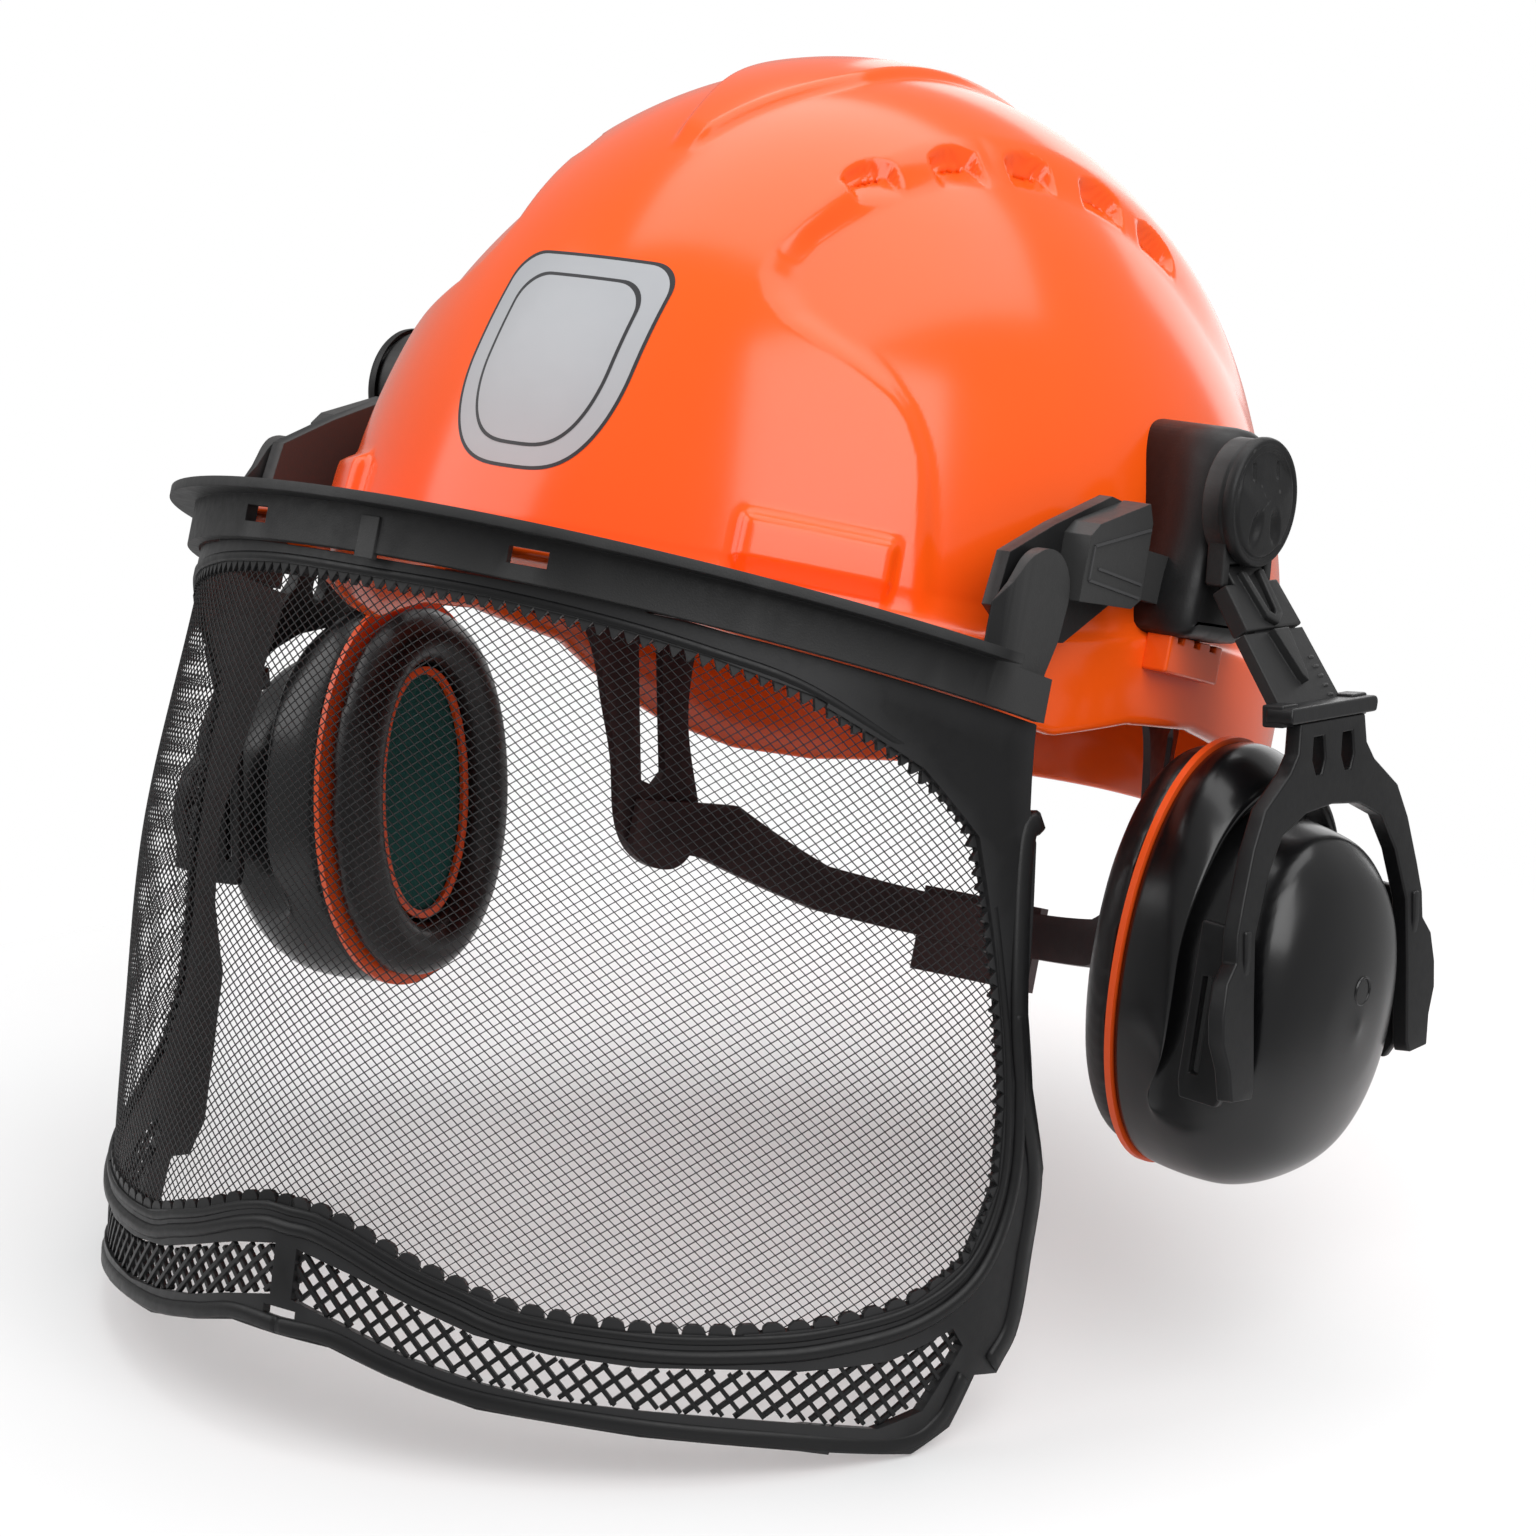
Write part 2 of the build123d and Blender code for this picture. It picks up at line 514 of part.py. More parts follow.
def main():
    dome, front, side, rear = split_shell(make_shell())
    save("shell", dome)
    save("shell_front", front)
    save_pair("shell_rim", side)
    save("shell_rim_rear", rear)
    save("emblem", make_emblem())
    save("visor_holder", make_holder())
    save_pair("visor_carrier", make_carrier())
    save_pair("carrier_cover", make_cover())
    frame, mesh, lattices = make_visor()
    save("visor_frame", frame)
    save("visor_mesh", mesh)
    save("chin_lattice_left", lattices[0])
    save("chin_lattice_right", lattices[1])
    adapter, foot = make_adapter()
    save_pair("adapter", adapter)
    save_pair("adapter_foot", foot)
    save_pair("hub_axle", make_axle())
    save_pair("arm_hub", make_hub())
    save_pair("arm_plate", make_arm())
    save_pair("height_slider", make_slider())
    save_pair("yoke", make_yoke())
    skirt, cap = make_cup()
    save_pair("cup_skirt", skirt)
    save_pair("cup_dome", cap)
    save_pair("cup_ring", ring_solid(6, 0, -0.1, 1.5))
    save_pair("cup_inner_ring", ring_solid(19.6, 17.6, FOAM_FRONT - 1.3, FOAM_FRONT - 0.1))
    save_pair("cup_foam", make_foam())
    save_pair("ear_cushion", make_cushion())
    save("headband", make_headband())
    hanger, lug = make_hangers()
    save_pair("hanger", hanger)
    save_pair("hanger_lug", lug)
    save("nape_strap", make_nape())
    save("nape_buckle", make_buckle())
    save("crown_strap_front", crown_strap(90, 0))
    save("crown_strap_left", crown_strap(30, 2.4))
    save("crown_strap_right", crown_strap(-30, 4.8))


main()
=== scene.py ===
from math import cos, hypot, pi, radians, sin, sqrt

import bpy
import numpy as np
from mathutils import Matrix, Vector
from mathutils.geometry import delaunay_2d_cdt


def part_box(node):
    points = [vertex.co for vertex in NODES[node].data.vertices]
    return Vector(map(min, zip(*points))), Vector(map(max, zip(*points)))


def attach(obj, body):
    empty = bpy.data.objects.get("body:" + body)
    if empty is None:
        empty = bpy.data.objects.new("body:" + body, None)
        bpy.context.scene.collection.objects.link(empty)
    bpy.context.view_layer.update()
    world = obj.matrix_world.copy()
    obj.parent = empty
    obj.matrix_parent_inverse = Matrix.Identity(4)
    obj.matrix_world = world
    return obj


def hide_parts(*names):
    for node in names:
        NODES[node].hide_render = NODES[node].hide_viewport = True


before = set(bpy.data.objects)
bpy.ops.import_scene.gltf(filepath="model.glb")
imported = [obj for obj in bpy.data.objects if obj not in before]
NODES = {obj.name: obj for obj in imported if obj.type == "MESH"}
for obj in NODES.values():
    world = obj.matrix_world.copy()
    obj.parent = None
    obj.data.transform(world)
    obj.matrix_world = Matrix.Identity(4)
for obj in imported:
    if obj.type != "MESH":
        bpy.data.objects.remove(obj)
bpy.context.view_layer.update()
MM = 0.001

# ---------------------------------------------------------------- stage
CAMERA_PLACE = Vector((0.6333, -0.9131, -0.0226))
CAMERA_RIGHT = Vector((0.8064, 0.5606, 0.1884))
CAMERA_UP = Vector((-0.1514, -0.1123, 0.9821))
FLOOR_NORMAL = Vector((0, -0.3185, 0.948)).normalized()


def make_camera():
    data = bpy.data.cameras.new("camera")
    data.lens = 108.2
    data.sensor_width = 36
    data.clip_start = 0.01
    camera = bpy.data.objects.new("camera", data)
    bpy.context.scene.collection.objects.link(camera)
    back = CAMERA_RIGHT.cross(CAMERA_UP).normalized()
    turn = Matrix((CAMERA_RIGHT, CAMERA_UP, back)).transposed().to_4x4()
    camera.matrix_world = Matrix.Translation(CAMERA_PLACE) @ turn
    bpy.context.scene.camera = camera


def lowest_point():
    """How far along the floor's normal the object's lowest point lies."""
    return min(FLOOR_NORMAL.dot(v.co) for node in NODES.values() for v in node.data.vertices)


def make_floor():
    """A pale disc under the object that fades out into the white of the world."""
    centre = Vector((0, -0.03, 0))
    centre += FLOOR_NORMAL * (lowest_point() - 0.0006 - FLOOR_NORMAL.dot(centre))
    bpy.ops.mesh.primitive_circle_add(vertices=128, radius=0.42, fill_type="NGON")
    disc = bpy.context.object
    disc.name = "floor"
    disc.matrix_world = Matrix.Translation(centre) @ FLOOR_NORMAL.to_track_quat("Z", "Y").to_matrix().to_4x4()
    material = bpy.data.materials.new("floor_paper")
    material.use_nodes = True
    nodes = material.node_tree.nodes
    links = material.node_tree.links
    shader = nodes["Principled BSDF"]
    shader.inputs["Base Color"].default_value = (0.93, 0.93, 0.935, 1)
    shader.inputs["Roughness"].default_value = 0.55
    coordinates = nodes.new("ShaderNodeTexCoord")
    length = nodes.new("ShaderNodeVectorMath")
    length.operation = "LENGTH"
    links.new(coordinates.outputs["Object"], length.inputs[0])
    fade = nodes.new("ShaderNodeMapRange")
    fade.interpolation_type = "SMOOTHSTEP"
    fade.inputs["From Min"].default_value = 0.20
    fade.inputs["From Max"].default_value = 0.40
    fade.inputs["To Min"].default_value = 0.72
    fade.inputs["To Max"].default_value = 0
    links.new(length.outputs["Value"], fade.inputs["Value"])
    links.new(fade.outputs["Result"], shader.inputs["Alpha"])
    disc.data.materials.append(material)


def area_light(name, place, size, power, target=(0, 0, 0)):
    data = bpy.data.lights.new(name, "AREA")
    data.shape = "RECTANGLE"
    data.size, data.size_y = size
    data.energy = power
    lamp = bpy.data.objects.new(name, data)
    bpy.context.scene.collection.objects.link(lamp)
    lamp.location = place
    lamp.rotation_mode = "QUATERNION"
    lamp.rotation_quaternion = (Vector(place) - Vector(target)).to_track_quat("Z", "Y")


def make_lights():
    area_light("key", (1.0, -0.75, 0.75), (1.2, 1.2), 14)
    area_light("fill", (-0.9, -0.9, 0.55), (1.0, 1.1), 7)
    area_light("top", (0.0, 0.0, 1.25), (1.5, 1.2), 10)
    area_light("back", (-0.3, 1.1, 0.6), (0.9, 0.6), 2)
    world = bpy.data.worlds.new("studio")
    bpy.context.scene.world = world
    world.use_nodes = True
    nodes = world.node_tree.nodes
    links = world.node_tree.links
    path = nodes.new("ShaderNodeLightPath")
    seen = nodes.new("ShaderNodeBackground")
    seen.inputs["Color"].default_value = (1, 1, 1, 1)
    seen.inputs["Strength"].default_value = 1.0
    lit = nodes["Background"]
    lit.inputs["Color"].default_value = (1, 1, 1, 1)
    lit.inputs["Strength"].default_value = 0.40
    mix = nodes.new("ShaderNodeMixShader")
    links.new(path.outputs["Is Camera Ray"], mix.inputs["Fac"])
    links.new(lit.outputs["Background"], mix.inputs[1])
    links.new(seen.outputs["Background"], mix.inputs[2])
    links.new(mix.outputs["Shader"], nodes["World Output"].inputs["Surface"])
    bpy.context.scene.view_settings.view_transform = "Standard"


# ---------------------------------------------------------------- materials
def noise(tree, coordinates, scale, detail=2.0, rough=0.5):
    node = tree.nodes.new("ShaderNodeTexNoise")
    node.inputs["Scale"].default_value = scale
    node.inputs["Detail"].default_value = detail
    node.inputs["Roughness"].default_value = rough
    tree.links.new(coordinates, node.inputs["Vector"])
    return node.outputs["Fac"]


def spread(tree, value, low, high, from_low=0.3, from_high=0.7):
    node = tree.nodes.new("ShaderNodeMapRange")
    node.inputs["From Min"].default_value = from_low
    node.inputs["From Max"].default_value = from_high
    node.inputs["To Min"].default_value = low
    node.inputs["To Max"].default_value = high
    tree.links.new(value, node.inputs["Value"])
    return node.outputs["Result"]


def mixed(tree, factor, first, second):
    node = tree.nodes.new("ShaderNodeMix")
    node.data_type = "RGBA"
    for socket, colour in ((node.inputs["A"], first), (node.inputs["B"], second)):
        if isinstance(colour, tuple):
            socket.default_value = (*colour, 1)
        else:
            tree.links.new(colour, socket)
    tree.links.new(factor, node.inputs["Factor"])
    return node.outputs["Result"]


def shaded(colour, by):
    return tuple(min(1.0, c * by) for c in colour)


def plastic(name, colour, rough, grain=0.35, depth=0.02, patch=0.06, edge=0.4, coat=0.0, worn=None):
    """A moulded plastic: fine grain in mm, slow colour and gloss variation, rounded edges."""
    material = bpy.data.materials.new(name)
    material.use_nodes = True
    tree = material.node_tree
    shader = tree.nodes["Principled BSDF"]
    place = tree.nodes.new("ShaderNodeTexCoord").outputs["Object"]
    slow = noise(tree, place, 22, 3)
    base = mixed(tree, spread(tree, slow, 0, 1), shaded(colour, 1 - patch), shaded(colour, 1 + patch))
    fine = noise(tree, place, 1000 / grain, 2, 0.6)
    if worn:
        pointed = tree.nodes.new("ShaderNodeNewGeometry").outputs["Pointiness"]
        rubbed = spread(tree, pointed, 0, 0.75, 0.52, 0.60)
        base = mixed(tree, rubbed, base, worn)
    tree.links.new(base, shader.inputs["Base Color"])
    speck = noise(tree, place, 420, 3)
    uneven = 0.05 if rough > 0.25 else 0.012
    tree.links.new(spread(tree, speck, rough - uneven, rough + uneven), shader.inputs["Roughness"])
    shader.inputs["Specular IOR Level"].default_value = 0.5 if max(colour) > 0.2 or rough < 0.35 else 0.32
    shader.inputs["Coat Weight"].default_value = coat
    shader.inputs["Coat Roughness"].default_value = 0.12
    bump = tree.nodes.new("ShaderNodeBump")
    bump.inputs["Strength"].default_value = 1.0
    bump.inputs["Distance"].default_value = depth * MM
    tree.links.new(fine, bump.inputs["Height"])
    if edge:
        soft = tree.nodes.new("ShaderNodeBevel")
        soft.samples = 3
        soft.inputs["Radius"].default_value = edge * MM
        tree.links.new(soft.outputs["Normal"], bump.inputs["Normal"])
    tree.links.new(bump.outputs["Normal"], shader.inputs["Normal"])
    return material


def make_materials():
    black, dark = (0.011, 0.011, 0.0115), (0.006, 0.006, 0.0065)
    worn_black, worn_dark = (0.05, 0.05, 0.05), (0.025, 0.025, 0.026)
    brown, worn_brown = (0.026, 0.011, 0.012), (0.06, 0.03, 0.03)
    return {
        "orange": plastic("orange_gloss", (1.0, 0.105, 0.006), 0.18, 2.5, 0.003, 0.03, 0, 0.1),
        "trim": plastic("orange_trim", (0.92, 0.10, 0.012), 0.35, 0.8, 0.01, 0.05, 0.1),
        "spark": plastic("spark_grain", black, 0.50, 0.45, 0.05, 0.1, 0.35, 0, worn_black),
        "arm": plastic("arm_grain", black, 0.44, 0.5, 0.03, 0.1, 0.4, 0, worn_black),
        "frame": plastic("frame_grain", dark, 0.42, 0.6, 0.02, 0.1, 0.3, 0, worn_dark),
        "yoke": plastic("yoke_grain", dark, 0.36, 0.6, 0.02, 0.1, 0, 0, worn_dark),
        # painted highlight: a lighter grey for the cover lines that stands in for light catching their ridges
        "worn": plastic("worn_edge", (0.06, 0.06, 0.062), 0.4, 0.4, 0.01, 0.1, 0),
        "cup": plastic("cup_gloss", (0.004, 0.004, 0.0045), 0.25, 0.7, 0.008, 0.1, 0, 0.1),
        "harness": plastic("harness_plastic", brown, 0.40, 0.7, 0.015, 0.12, 0.3, 0, worn_brown),
        "wire": plastic("dark_wire", (0.012, 0.012, 0.013), 0.40, 0.3, 0.01, 0.2, 0),
        "silver": plastic("silver_foil", (0.40, 0.41, 0.43), 0.33, 0.25, 0.006, 0.06, 0),
        "outline": plastic("outline_ink", (0.03, 0.03, 0.033), 0.4, 0.4, 0.005, 0.1, 0),
        "vinyl": plastic("cushion_vinyl", (0.010, 0.008, 0.0085), 0.34, 1.4, 0.05, 0.15, 0),
        "foam": plastic("teal_foam", (0.010, 0.085, 0.075), 0.85, 1.1, 0.35, 0.2, 0),
        "webbing": webbing(),
    }


def webbing():
    """Woven polyester: ribs across the strap and finer yarns along it."""
    material = plastic("woven_webbing", (0.055, 0.05, 0.052), 0.75, 0.5, 0.08, 0.15, 0)
    tree = material.node_tree
    place = next(n for n in tree.nodes if n.type == "TEX_COORD").outputs["Object"]
    bump = next(n for n in tree.nodes if n.type == "BUMP")
    wave = tree.nodes.new("ShaderNodeTexWave")
    wave.bands_direction = "Z"
    wave.inputs["Scale"].default_value = 260
    wave.inputs["Distortion"].default_value = 1.2
    tree.links.new(place, wave.inputs["Vector"])
    second = tree.nodes.new("ShaderNodeBump")
    second.inputs["Distance"].default_value = 0.25 * MM
    tree.links.new(wave.outputs["Fac"], second.inputs["Height"])
    tree.links.new(second.outputs["Normal"], bump.inputs["Normal"])
    return material


# ---------------------------------------------------------------- mesh helpers
def mesh_piece(name, points, faces, material, body, smooth=True):
    """A new piece from points in mm; it rides on a CAD body."""
    data = bpy.data.meshes.new(name)
    scaled = np.asarray(points, float) * MM
    data.from_pydata([tuple(p) for p in scaled], [], faces)
    data.materials.append(material)
    data.update()
    piece = bpy.data.objects.new(name, data)
    bpy.context.scene.collection.objects.link(piece)
    if smooth:
        data.shade_smooth()
    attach(piece, body)
    return piece


def smoothstep(value, low, high):
    t = np.clip((value - low) / (high - low), 0, 1)
    return t * t * (3 - 2 * t)


def inside(polygon, x, y):
    """Even-odd test of points against a closed polygon, on whole arrays."""
    result = np.zeros(np.shape(x), bool)
    for (x0, y0), (x1, y1) in zip(polygon, polygon[1:] + polygon[:1]):
        crosses = (y0 > y) != (y1 > y)
        reach = x0 + (y - y0) * (x1 - x0) / ((y1 - y0) or 1e-9)
        result ^= crosses & (x < reach)
    return result


# ---------------------------------------------------------------- shell
SHELL_CENTRE = np.array([0.0, 4.0, 16.0])
SHELL_RADII = np.array([106.6, 128.3, 136.7])
WALL = 3.0
PEAK_CENTRE_Y = -52
PEAK_RADIUS = 107
RIM_PROFILE = [(-128, 14), (-90, 7), (-66, 4.5), (-42, 2), (-20, 8), (5, 10), (38, 6.5), (54, -1.5),
               (70, -8), (90, -12), (106, -11), (120, -7), (140, -2.5)]
# The shoulder between the raised middle and the side fields, as turn from the front and height angle.
SHOULDER = [(52, -12), (49.6, 4), (48.6, 11), (47.7, 16.5), (45.6, 19.7), (42.8, 21.8), (38.1, 24),
            (32.7, 25.8), (28.4, 27.3), (25.2, 29.6), (23.5, 32.5), (23.7, 35.7), (26.4, 39.3), (29.5, 43.5),
            (34.5, 50.4), (43, 55.8), (54, 60.4), (72, 62), (91, 60.5), (108, 56), (124, 48), (138, 36),
            (147, 22), (151, 6), (152, -12)]
FIELD = [(54.5, -12), (52.6, 4), (51.4, 10), (50.2, 15.2), (48.8, 18.9), (46.8, 22.2), (44, 24.6), (39.8, 27),
         (35.6, 28.6), (32, 30.2), (29.9, 32.3), (29.4, 35), (30.6, 38), (33.7, 41), (37.4, 43.8), (42.6, 47.3),
         (48.4, 49.8), (56.8, 52.4), (69, 54.2), (83, 53.2), (92.4, 50.7), (100, 46.5), (108, 40), (120, 30),
         (132, 20), (141, 8), (145, -12)]
VENTS = [(34.8, 48.0), (50.0, 54.2), (68.0, 57.2), (88.0, 56.2), (102, 51.5)]
COLUMNS = 640
DOME_ROWS = 170


def on_dome(turn, height):
    """Unit-sphere directions for angles in degrees: turn from the front, height above the base."""
    a, e = np.radians(turn), np.radians(height)
    return np.stack([np.cos(e) * np.sin(a), -np.cos(e) * np.cos(a), np.sin(e)], -1)


def line_distance(points, polyline):
    best = np.full(len(points), 1e9)
    for a, b in zip(polyline[:-1], polyline[1:]):
        along = b - a
        t = np.clip((points - a) @ along / max(along @ along, 1e-9), 0, 1)
        best = np.minimum(best, np.linalg.norm(points - (a + t[:, None] * along), axis=1))
    return best


def vent_frames():
    places = [on_dome(a, e) * SHELL_RADII for a, e in VENTS]
    frames = []
    for i, place in enumerate(places):
        ahead = places[min(i + 1, len(places) - 1)] - places[max(i - 1, 0)]
        normal = place / SHELL_RADII ** 2
        normal = normal / np.linalg.norm(normal)
        ahead = ahead - normal * (ahead @ normal)
        ahead = ahead / np.linalg.norm(ahead)
        frames.append((place, ahead, np.cross(ahead, normal)))
    return frames


def vent_shape(points):
    """How deep each point lies in a vent pocket, and whether it is in the pocket's slot."""
    depth = np.zeros(len(points))
    slot = np.zeros(len(points), bool)
    for place, ahead, down in vent_frames():
        u = (points - place) @ ahead
        v = (place - points) @ down
        top = 4.6 - 0.045 * u ** 2
        side = 1 - smoothstep(np.abs(u), 6.2, 7.4)
        roof = 1 - smoothstep(v, top - 1.3, top)
        pocket = 3.3 * smoothstep(v, -7.0, 2.6) * side * roof
        depth = np.maximum(depth, pocket)
        slot |= (np.abs(u) < 3.6) & (v > 1.0) & (v < 2.4 - 0.03 * u ** 2)
    return depth, slot


def relief(turn, height):
    """Height of the moulded detail above the plain dome, in mm, and the mask of the vent slots."""
    turn = np.abs(turn)
    unit = on_dome(turn, height)
    points = unit * SHELL_RADII
    shoulder = np.array([on_dome(a, e) * SHELL_RADII for a, e in SHOULDER])
    field = np.array([on_dome(a, e) * SHELL_RADII for a, e in FIELD])
    within_shoulder = inside(SHOULDER, turn, height)
    within_field = inside(FIELD, turn, height)
    to_shoulder = line_distance(points, shoulder)
    to_field = line_distance(points, field)
    share = to_shoulder / (to_shoulder + to_field + 1e-6)
    share = np.where(within_shoulder, np.where(within_field, 1, share), 0)
    eased = share * share * (3 - 2 * share)
    low = -2.6 + 2.0 * (1 - smoothstep(height, 16, 44))
    result = 1.1 + (low - 1.1) * eased
    x, y = points[:, 0], points[:, 1] + SHELL_CENTRE[1]
    half = 13.5 * smoothstep(y, -92, -38) * (1 - smoothstep(y, 60, 112)) + 2.2
    crest = smoothstep(half - x, -1.6, 1.6) * (y > -84) * smoothstep(y, -84, -76)
    crest *= (points[:, 2] > 60) * (1 - smoothstep(y, 100, 112))
    result = result + 2.2 * crest
    pad = smoothstep(turn, 29.0, 30.6) * (1 - smoothstep(turn, 45.8, 47.2))
    pad = pad * (1 - smoothstep(height, 7.6, 9.2))
    result = result + 3.4 * pad
    depth, slot = vent_shape(points)
    return result - depth, slot


def rim_height(y):
    ys, zs = zip(*RIM_PROFILE)
    return np.interp(y, ys, zs)


def peak_reach(direction):
    """Distance from the dome's axis to the peak's edge, in a plan direction."""
    shift = np.array([0, SHELL_CENTRE[1] - PEAK_CENTRE_Y])
    b = direction @ shift
    return -b + np.sqrt(b * b - shift @ shift + PEAK_RADIUS ** 2)


def lower_profile(turn, radius, direction):
    """Points (radius, height) from the foot of the dome round the peak or rim band to the inner wall."""
    y_wall = SHELL_CENTRE[1] + radius * direction[:, 1]
    rim = rim_height(y_wall)
    front = 1 - smoothstep(np.abs(turn), 57, 62)
    reach = peak_reach(direction)
    step = 22.5 + 6.5 * smoothstep(np.abs(turn), 66, 84)
    proud = 1.9
    outline = [
        (radius + 0.3, step + 1.5, radius + 0.7, 23.4),
        (radius + 0.9, step + 0.9, radius + 1.6, 21.0),
        (radius + 1.5, step + 0.3, radius + 3.4, 19.6),
        (radius + proud, step - 0.9, radius + 6.0, 19.0),
        (radius + proud, step - 3, reach - 1.2, 19.0),
        (radius + proud, (step + rim) / 2, reach - 0.2, 18.5),
        (radius + proud, rim + 2.2, reach, 17.6),
        (radius + proud - 0.1, rim + 1.0, reach - 0.3, 16.5),
        (radius + proud - 0.5, rim + 0.3, reach - 1.2, 16.0),
        (radius + proud - 1.2, rim, radius + 2.0, 15.6),
        (radius + 0.0, rim, radius, rim + 0.4),
        (radius - 1.4, rim, radius - 1.4, rim),
        (radius - 2.4, rim + 0.3, radius - 2.4, rim + 0.3),
        (radius - WALL, rim + 1.2, radius - WALL, rim + 1.2),
        (radius - WALL, (rim + 22) / 2, radius - WALL, (rim + 22) / 2),
    ]
    rows = []
    for band_r, band_z, peak_r, peak_z in outline:
        r = band_r * (1 - front) + peak_r * front
        z = band_z * (1 - front) + peak_z * front
        rows.append(np.stack([r * direction[:, 0], SHELL_CENTRE[1] + r * direction[:, 1], z + 0 * r], -1))
    return rows


def make_shell(material):
    turn = np.linspace(-180, 180, COLUMNS, endpoint=False)
    bearing = np.radians(turn)
    plan = np.stack([SHELL_RADII[0] * np.sin(bearing), -SHELL_RADII[1] * np.cos(bearing)], -1)
    foot_height = 25 + 6.5 * smoothstep(np.abs(turn), 66, 84) + 1.2
    foot_angle = np.degrees(np.arcsin((foot_height - SHELL_CENTRE[2]) / SHELL_RADII[2]))
    rows_out, rows_in, slots = [], [], []
    for i in range(DOME_ROWS):
        share = i / (DOME_ROWS - 1)
        height = 89.4 + (foot_angle - 89.4) * share
        raised, slot = relief(turn, height)
        unit = on_dome(turn, height)
        normal = unit / SHELL_RADII
        normal = normal / np.linalg.norm(normal, axis=1)[:, None]
        rows_out.append(SHELL_CENTRE + unit * SHELL_RADII + normal * raised[:, None])
        rows_in.append(SHELL_CENTRE + unit * (SHELL_RADII - WALL) + normal * np.minimum(raised, 0)[:, None])
        slots.append(slot)
    foot = rows_out[-1][:, :2] - SHELL_CENTRE[:2]
    radius = np.linalg.norm(foot, axis=1)
    direction = foot / radius[:, None]
    plain = np.linalg.norm(plan, axis=1) * np.cos(np.radians(foot_angle))
    lower = lower_profile(turn, plain, direction)
    rows = rows_out + lower + rows_in[::-1]
    count = len(rows)
    points = np.concatenate(rows + [SHELL_CENTRE[None] + [[0, 0, SHELL_RADII[2] + 3.3]],
                                    SHELL_CENTRE[None] + [[0, 0, SHELL_RADII[2] - WALL]]])
    slots = np.array(slots)
    faces = []
    n = COLUMNS
    for i in range(count - 1):
        for j in range(n):
            k = (j + 1) % n
            outer_hole = i < DOME_ROWS - 1 and slots[i, j]
            mirrored = count - 2 - i
            inner_hole = mirrored < DOME_ROWS - 1 and slots[mirrored, j]
            if outer_hole or inner_hole:
                continue
            faces.append((i * n + j, i * n + k, (i + 1) * n + k, (i + 1) * n + j))
    faces += slot_walls(slots, count)
    top, under = count * n, count * n + 1
    for j in range(n):
        k = (j + 1) % n
        faces.append((top, k, j))
        faces.append((under, (count - 1) * n + j, (count - 1) * n + k))
    faces = [tuple(reversed(face)) for face in faces]
    shell = mesh_piece("shell_moulding", points, faces, material, "shell")
    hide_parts(*[name for name in NODES if name.startswith("shell")])
    return shell


def slot_walls(slots, count):
    """Quads that join the outer and inner edges of each vent slot."""
    n = COLUMNS
    walls = []
    for i, j in zip(*np.nonzero(slots[:-1])):
        k = (j + 1) % n
        corners = {"up": ((i, j), (i, k)), "down": ((i + 1, k), (i + 1, j)),
                   "right": ((i, k), (i + 1, k)), "left": ((i + 1, j), (i, j))}
        open_sides = {"up": slots[i - 1, j], "down": slots[i + 1, j],
                      "right": slots[i, k], "left": slots[i, j - 1]}
        for side, ((r0, c0), (r1, c1)) in corners.items():
            if not open_sides[side]:
                walls.append((r0 * n + c0, r1 * n + c1, (count - 1 - r1) * n + c1, (count - 1 - r0) * n + c0))
    return walls


def dome_front(x, z, lift):
    """A point on the front of the raised middle field, lift above it."""
    grown = SHELL_RADII + 1.1 + lift
    inner = 1 - (x / grown[0]) ** 2 - ((z - SHELL_CENTRE[2]) / grown[2]) ** 2
    return (x, SHELL_CENTRE[1] - grown[1] * sqrt(max(inner, 0)), z)


def shield_outline(inset):
    """A plain rounded shield, (x, z), as an even closed loop."""
    half, top, bottom, corner = 22.5 - inset, 88 - inset, 37 + inset, 7.0
    points = []
    for t in np.linspace(0, pi, 60):
        across = np.sign(cos(t)) * abs(cos(t)) ** 0.62
        points.append((half * across, 62 - (62 - bottom) * sin(t)))
    for x, start in ((corner - half, pi), (half - corner, pi / 2)):
        for t in np.linspace(start, start - pi / 2, 12):
            points.append((x + corner * cos(t), top - corner + corner * sin(t)))
    points = np.array(points + points[:1])
    length = np.concatenate([[0], np.cumsum(np.linalg.norm(np.diff(points, axis=0), axis=1))])
    wanted = np.linspace(0, length[-1], 160, endpoint=False)
    return np.stack([np.interp(wanted, length, points[:, k]) for k in (0, 1)], -1)


def make_emblem(materials):
    """Dark edge, silver field, a fine dark inner line and the field within it, each a hair above the last."""
    layers = (("emblem_edge", 0.0, 0.10, "outline"), ("emblem_silver", 0.8, 0.16, "silver"),
              ("emblem_line", 5.2, 0.22, "outline"), ("emblem_field", 6.0, 0.28, "silver"))
    middle = np.array([0, 63.0])
    for name, inset, lift, key in layers:
        outline = shield_outline(inset)
        loops = [middle + (outline - middle) * share for share in np.linspace(1, 0.04, 22)]
        placed = [dome_front(x, z, lift) for x, z in np.concatenate(loops)]
        faces = grid_faces(22, 160, False, True) + [tuple(range(21 * 160, 22 * 160))]
        faces = [tuple(reversed(face)) for face in faces]
        piece = mesh_piece(name, placed, faces, materials[key], "shell")
        if name == "emblem_silver":
            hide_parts("emblem")


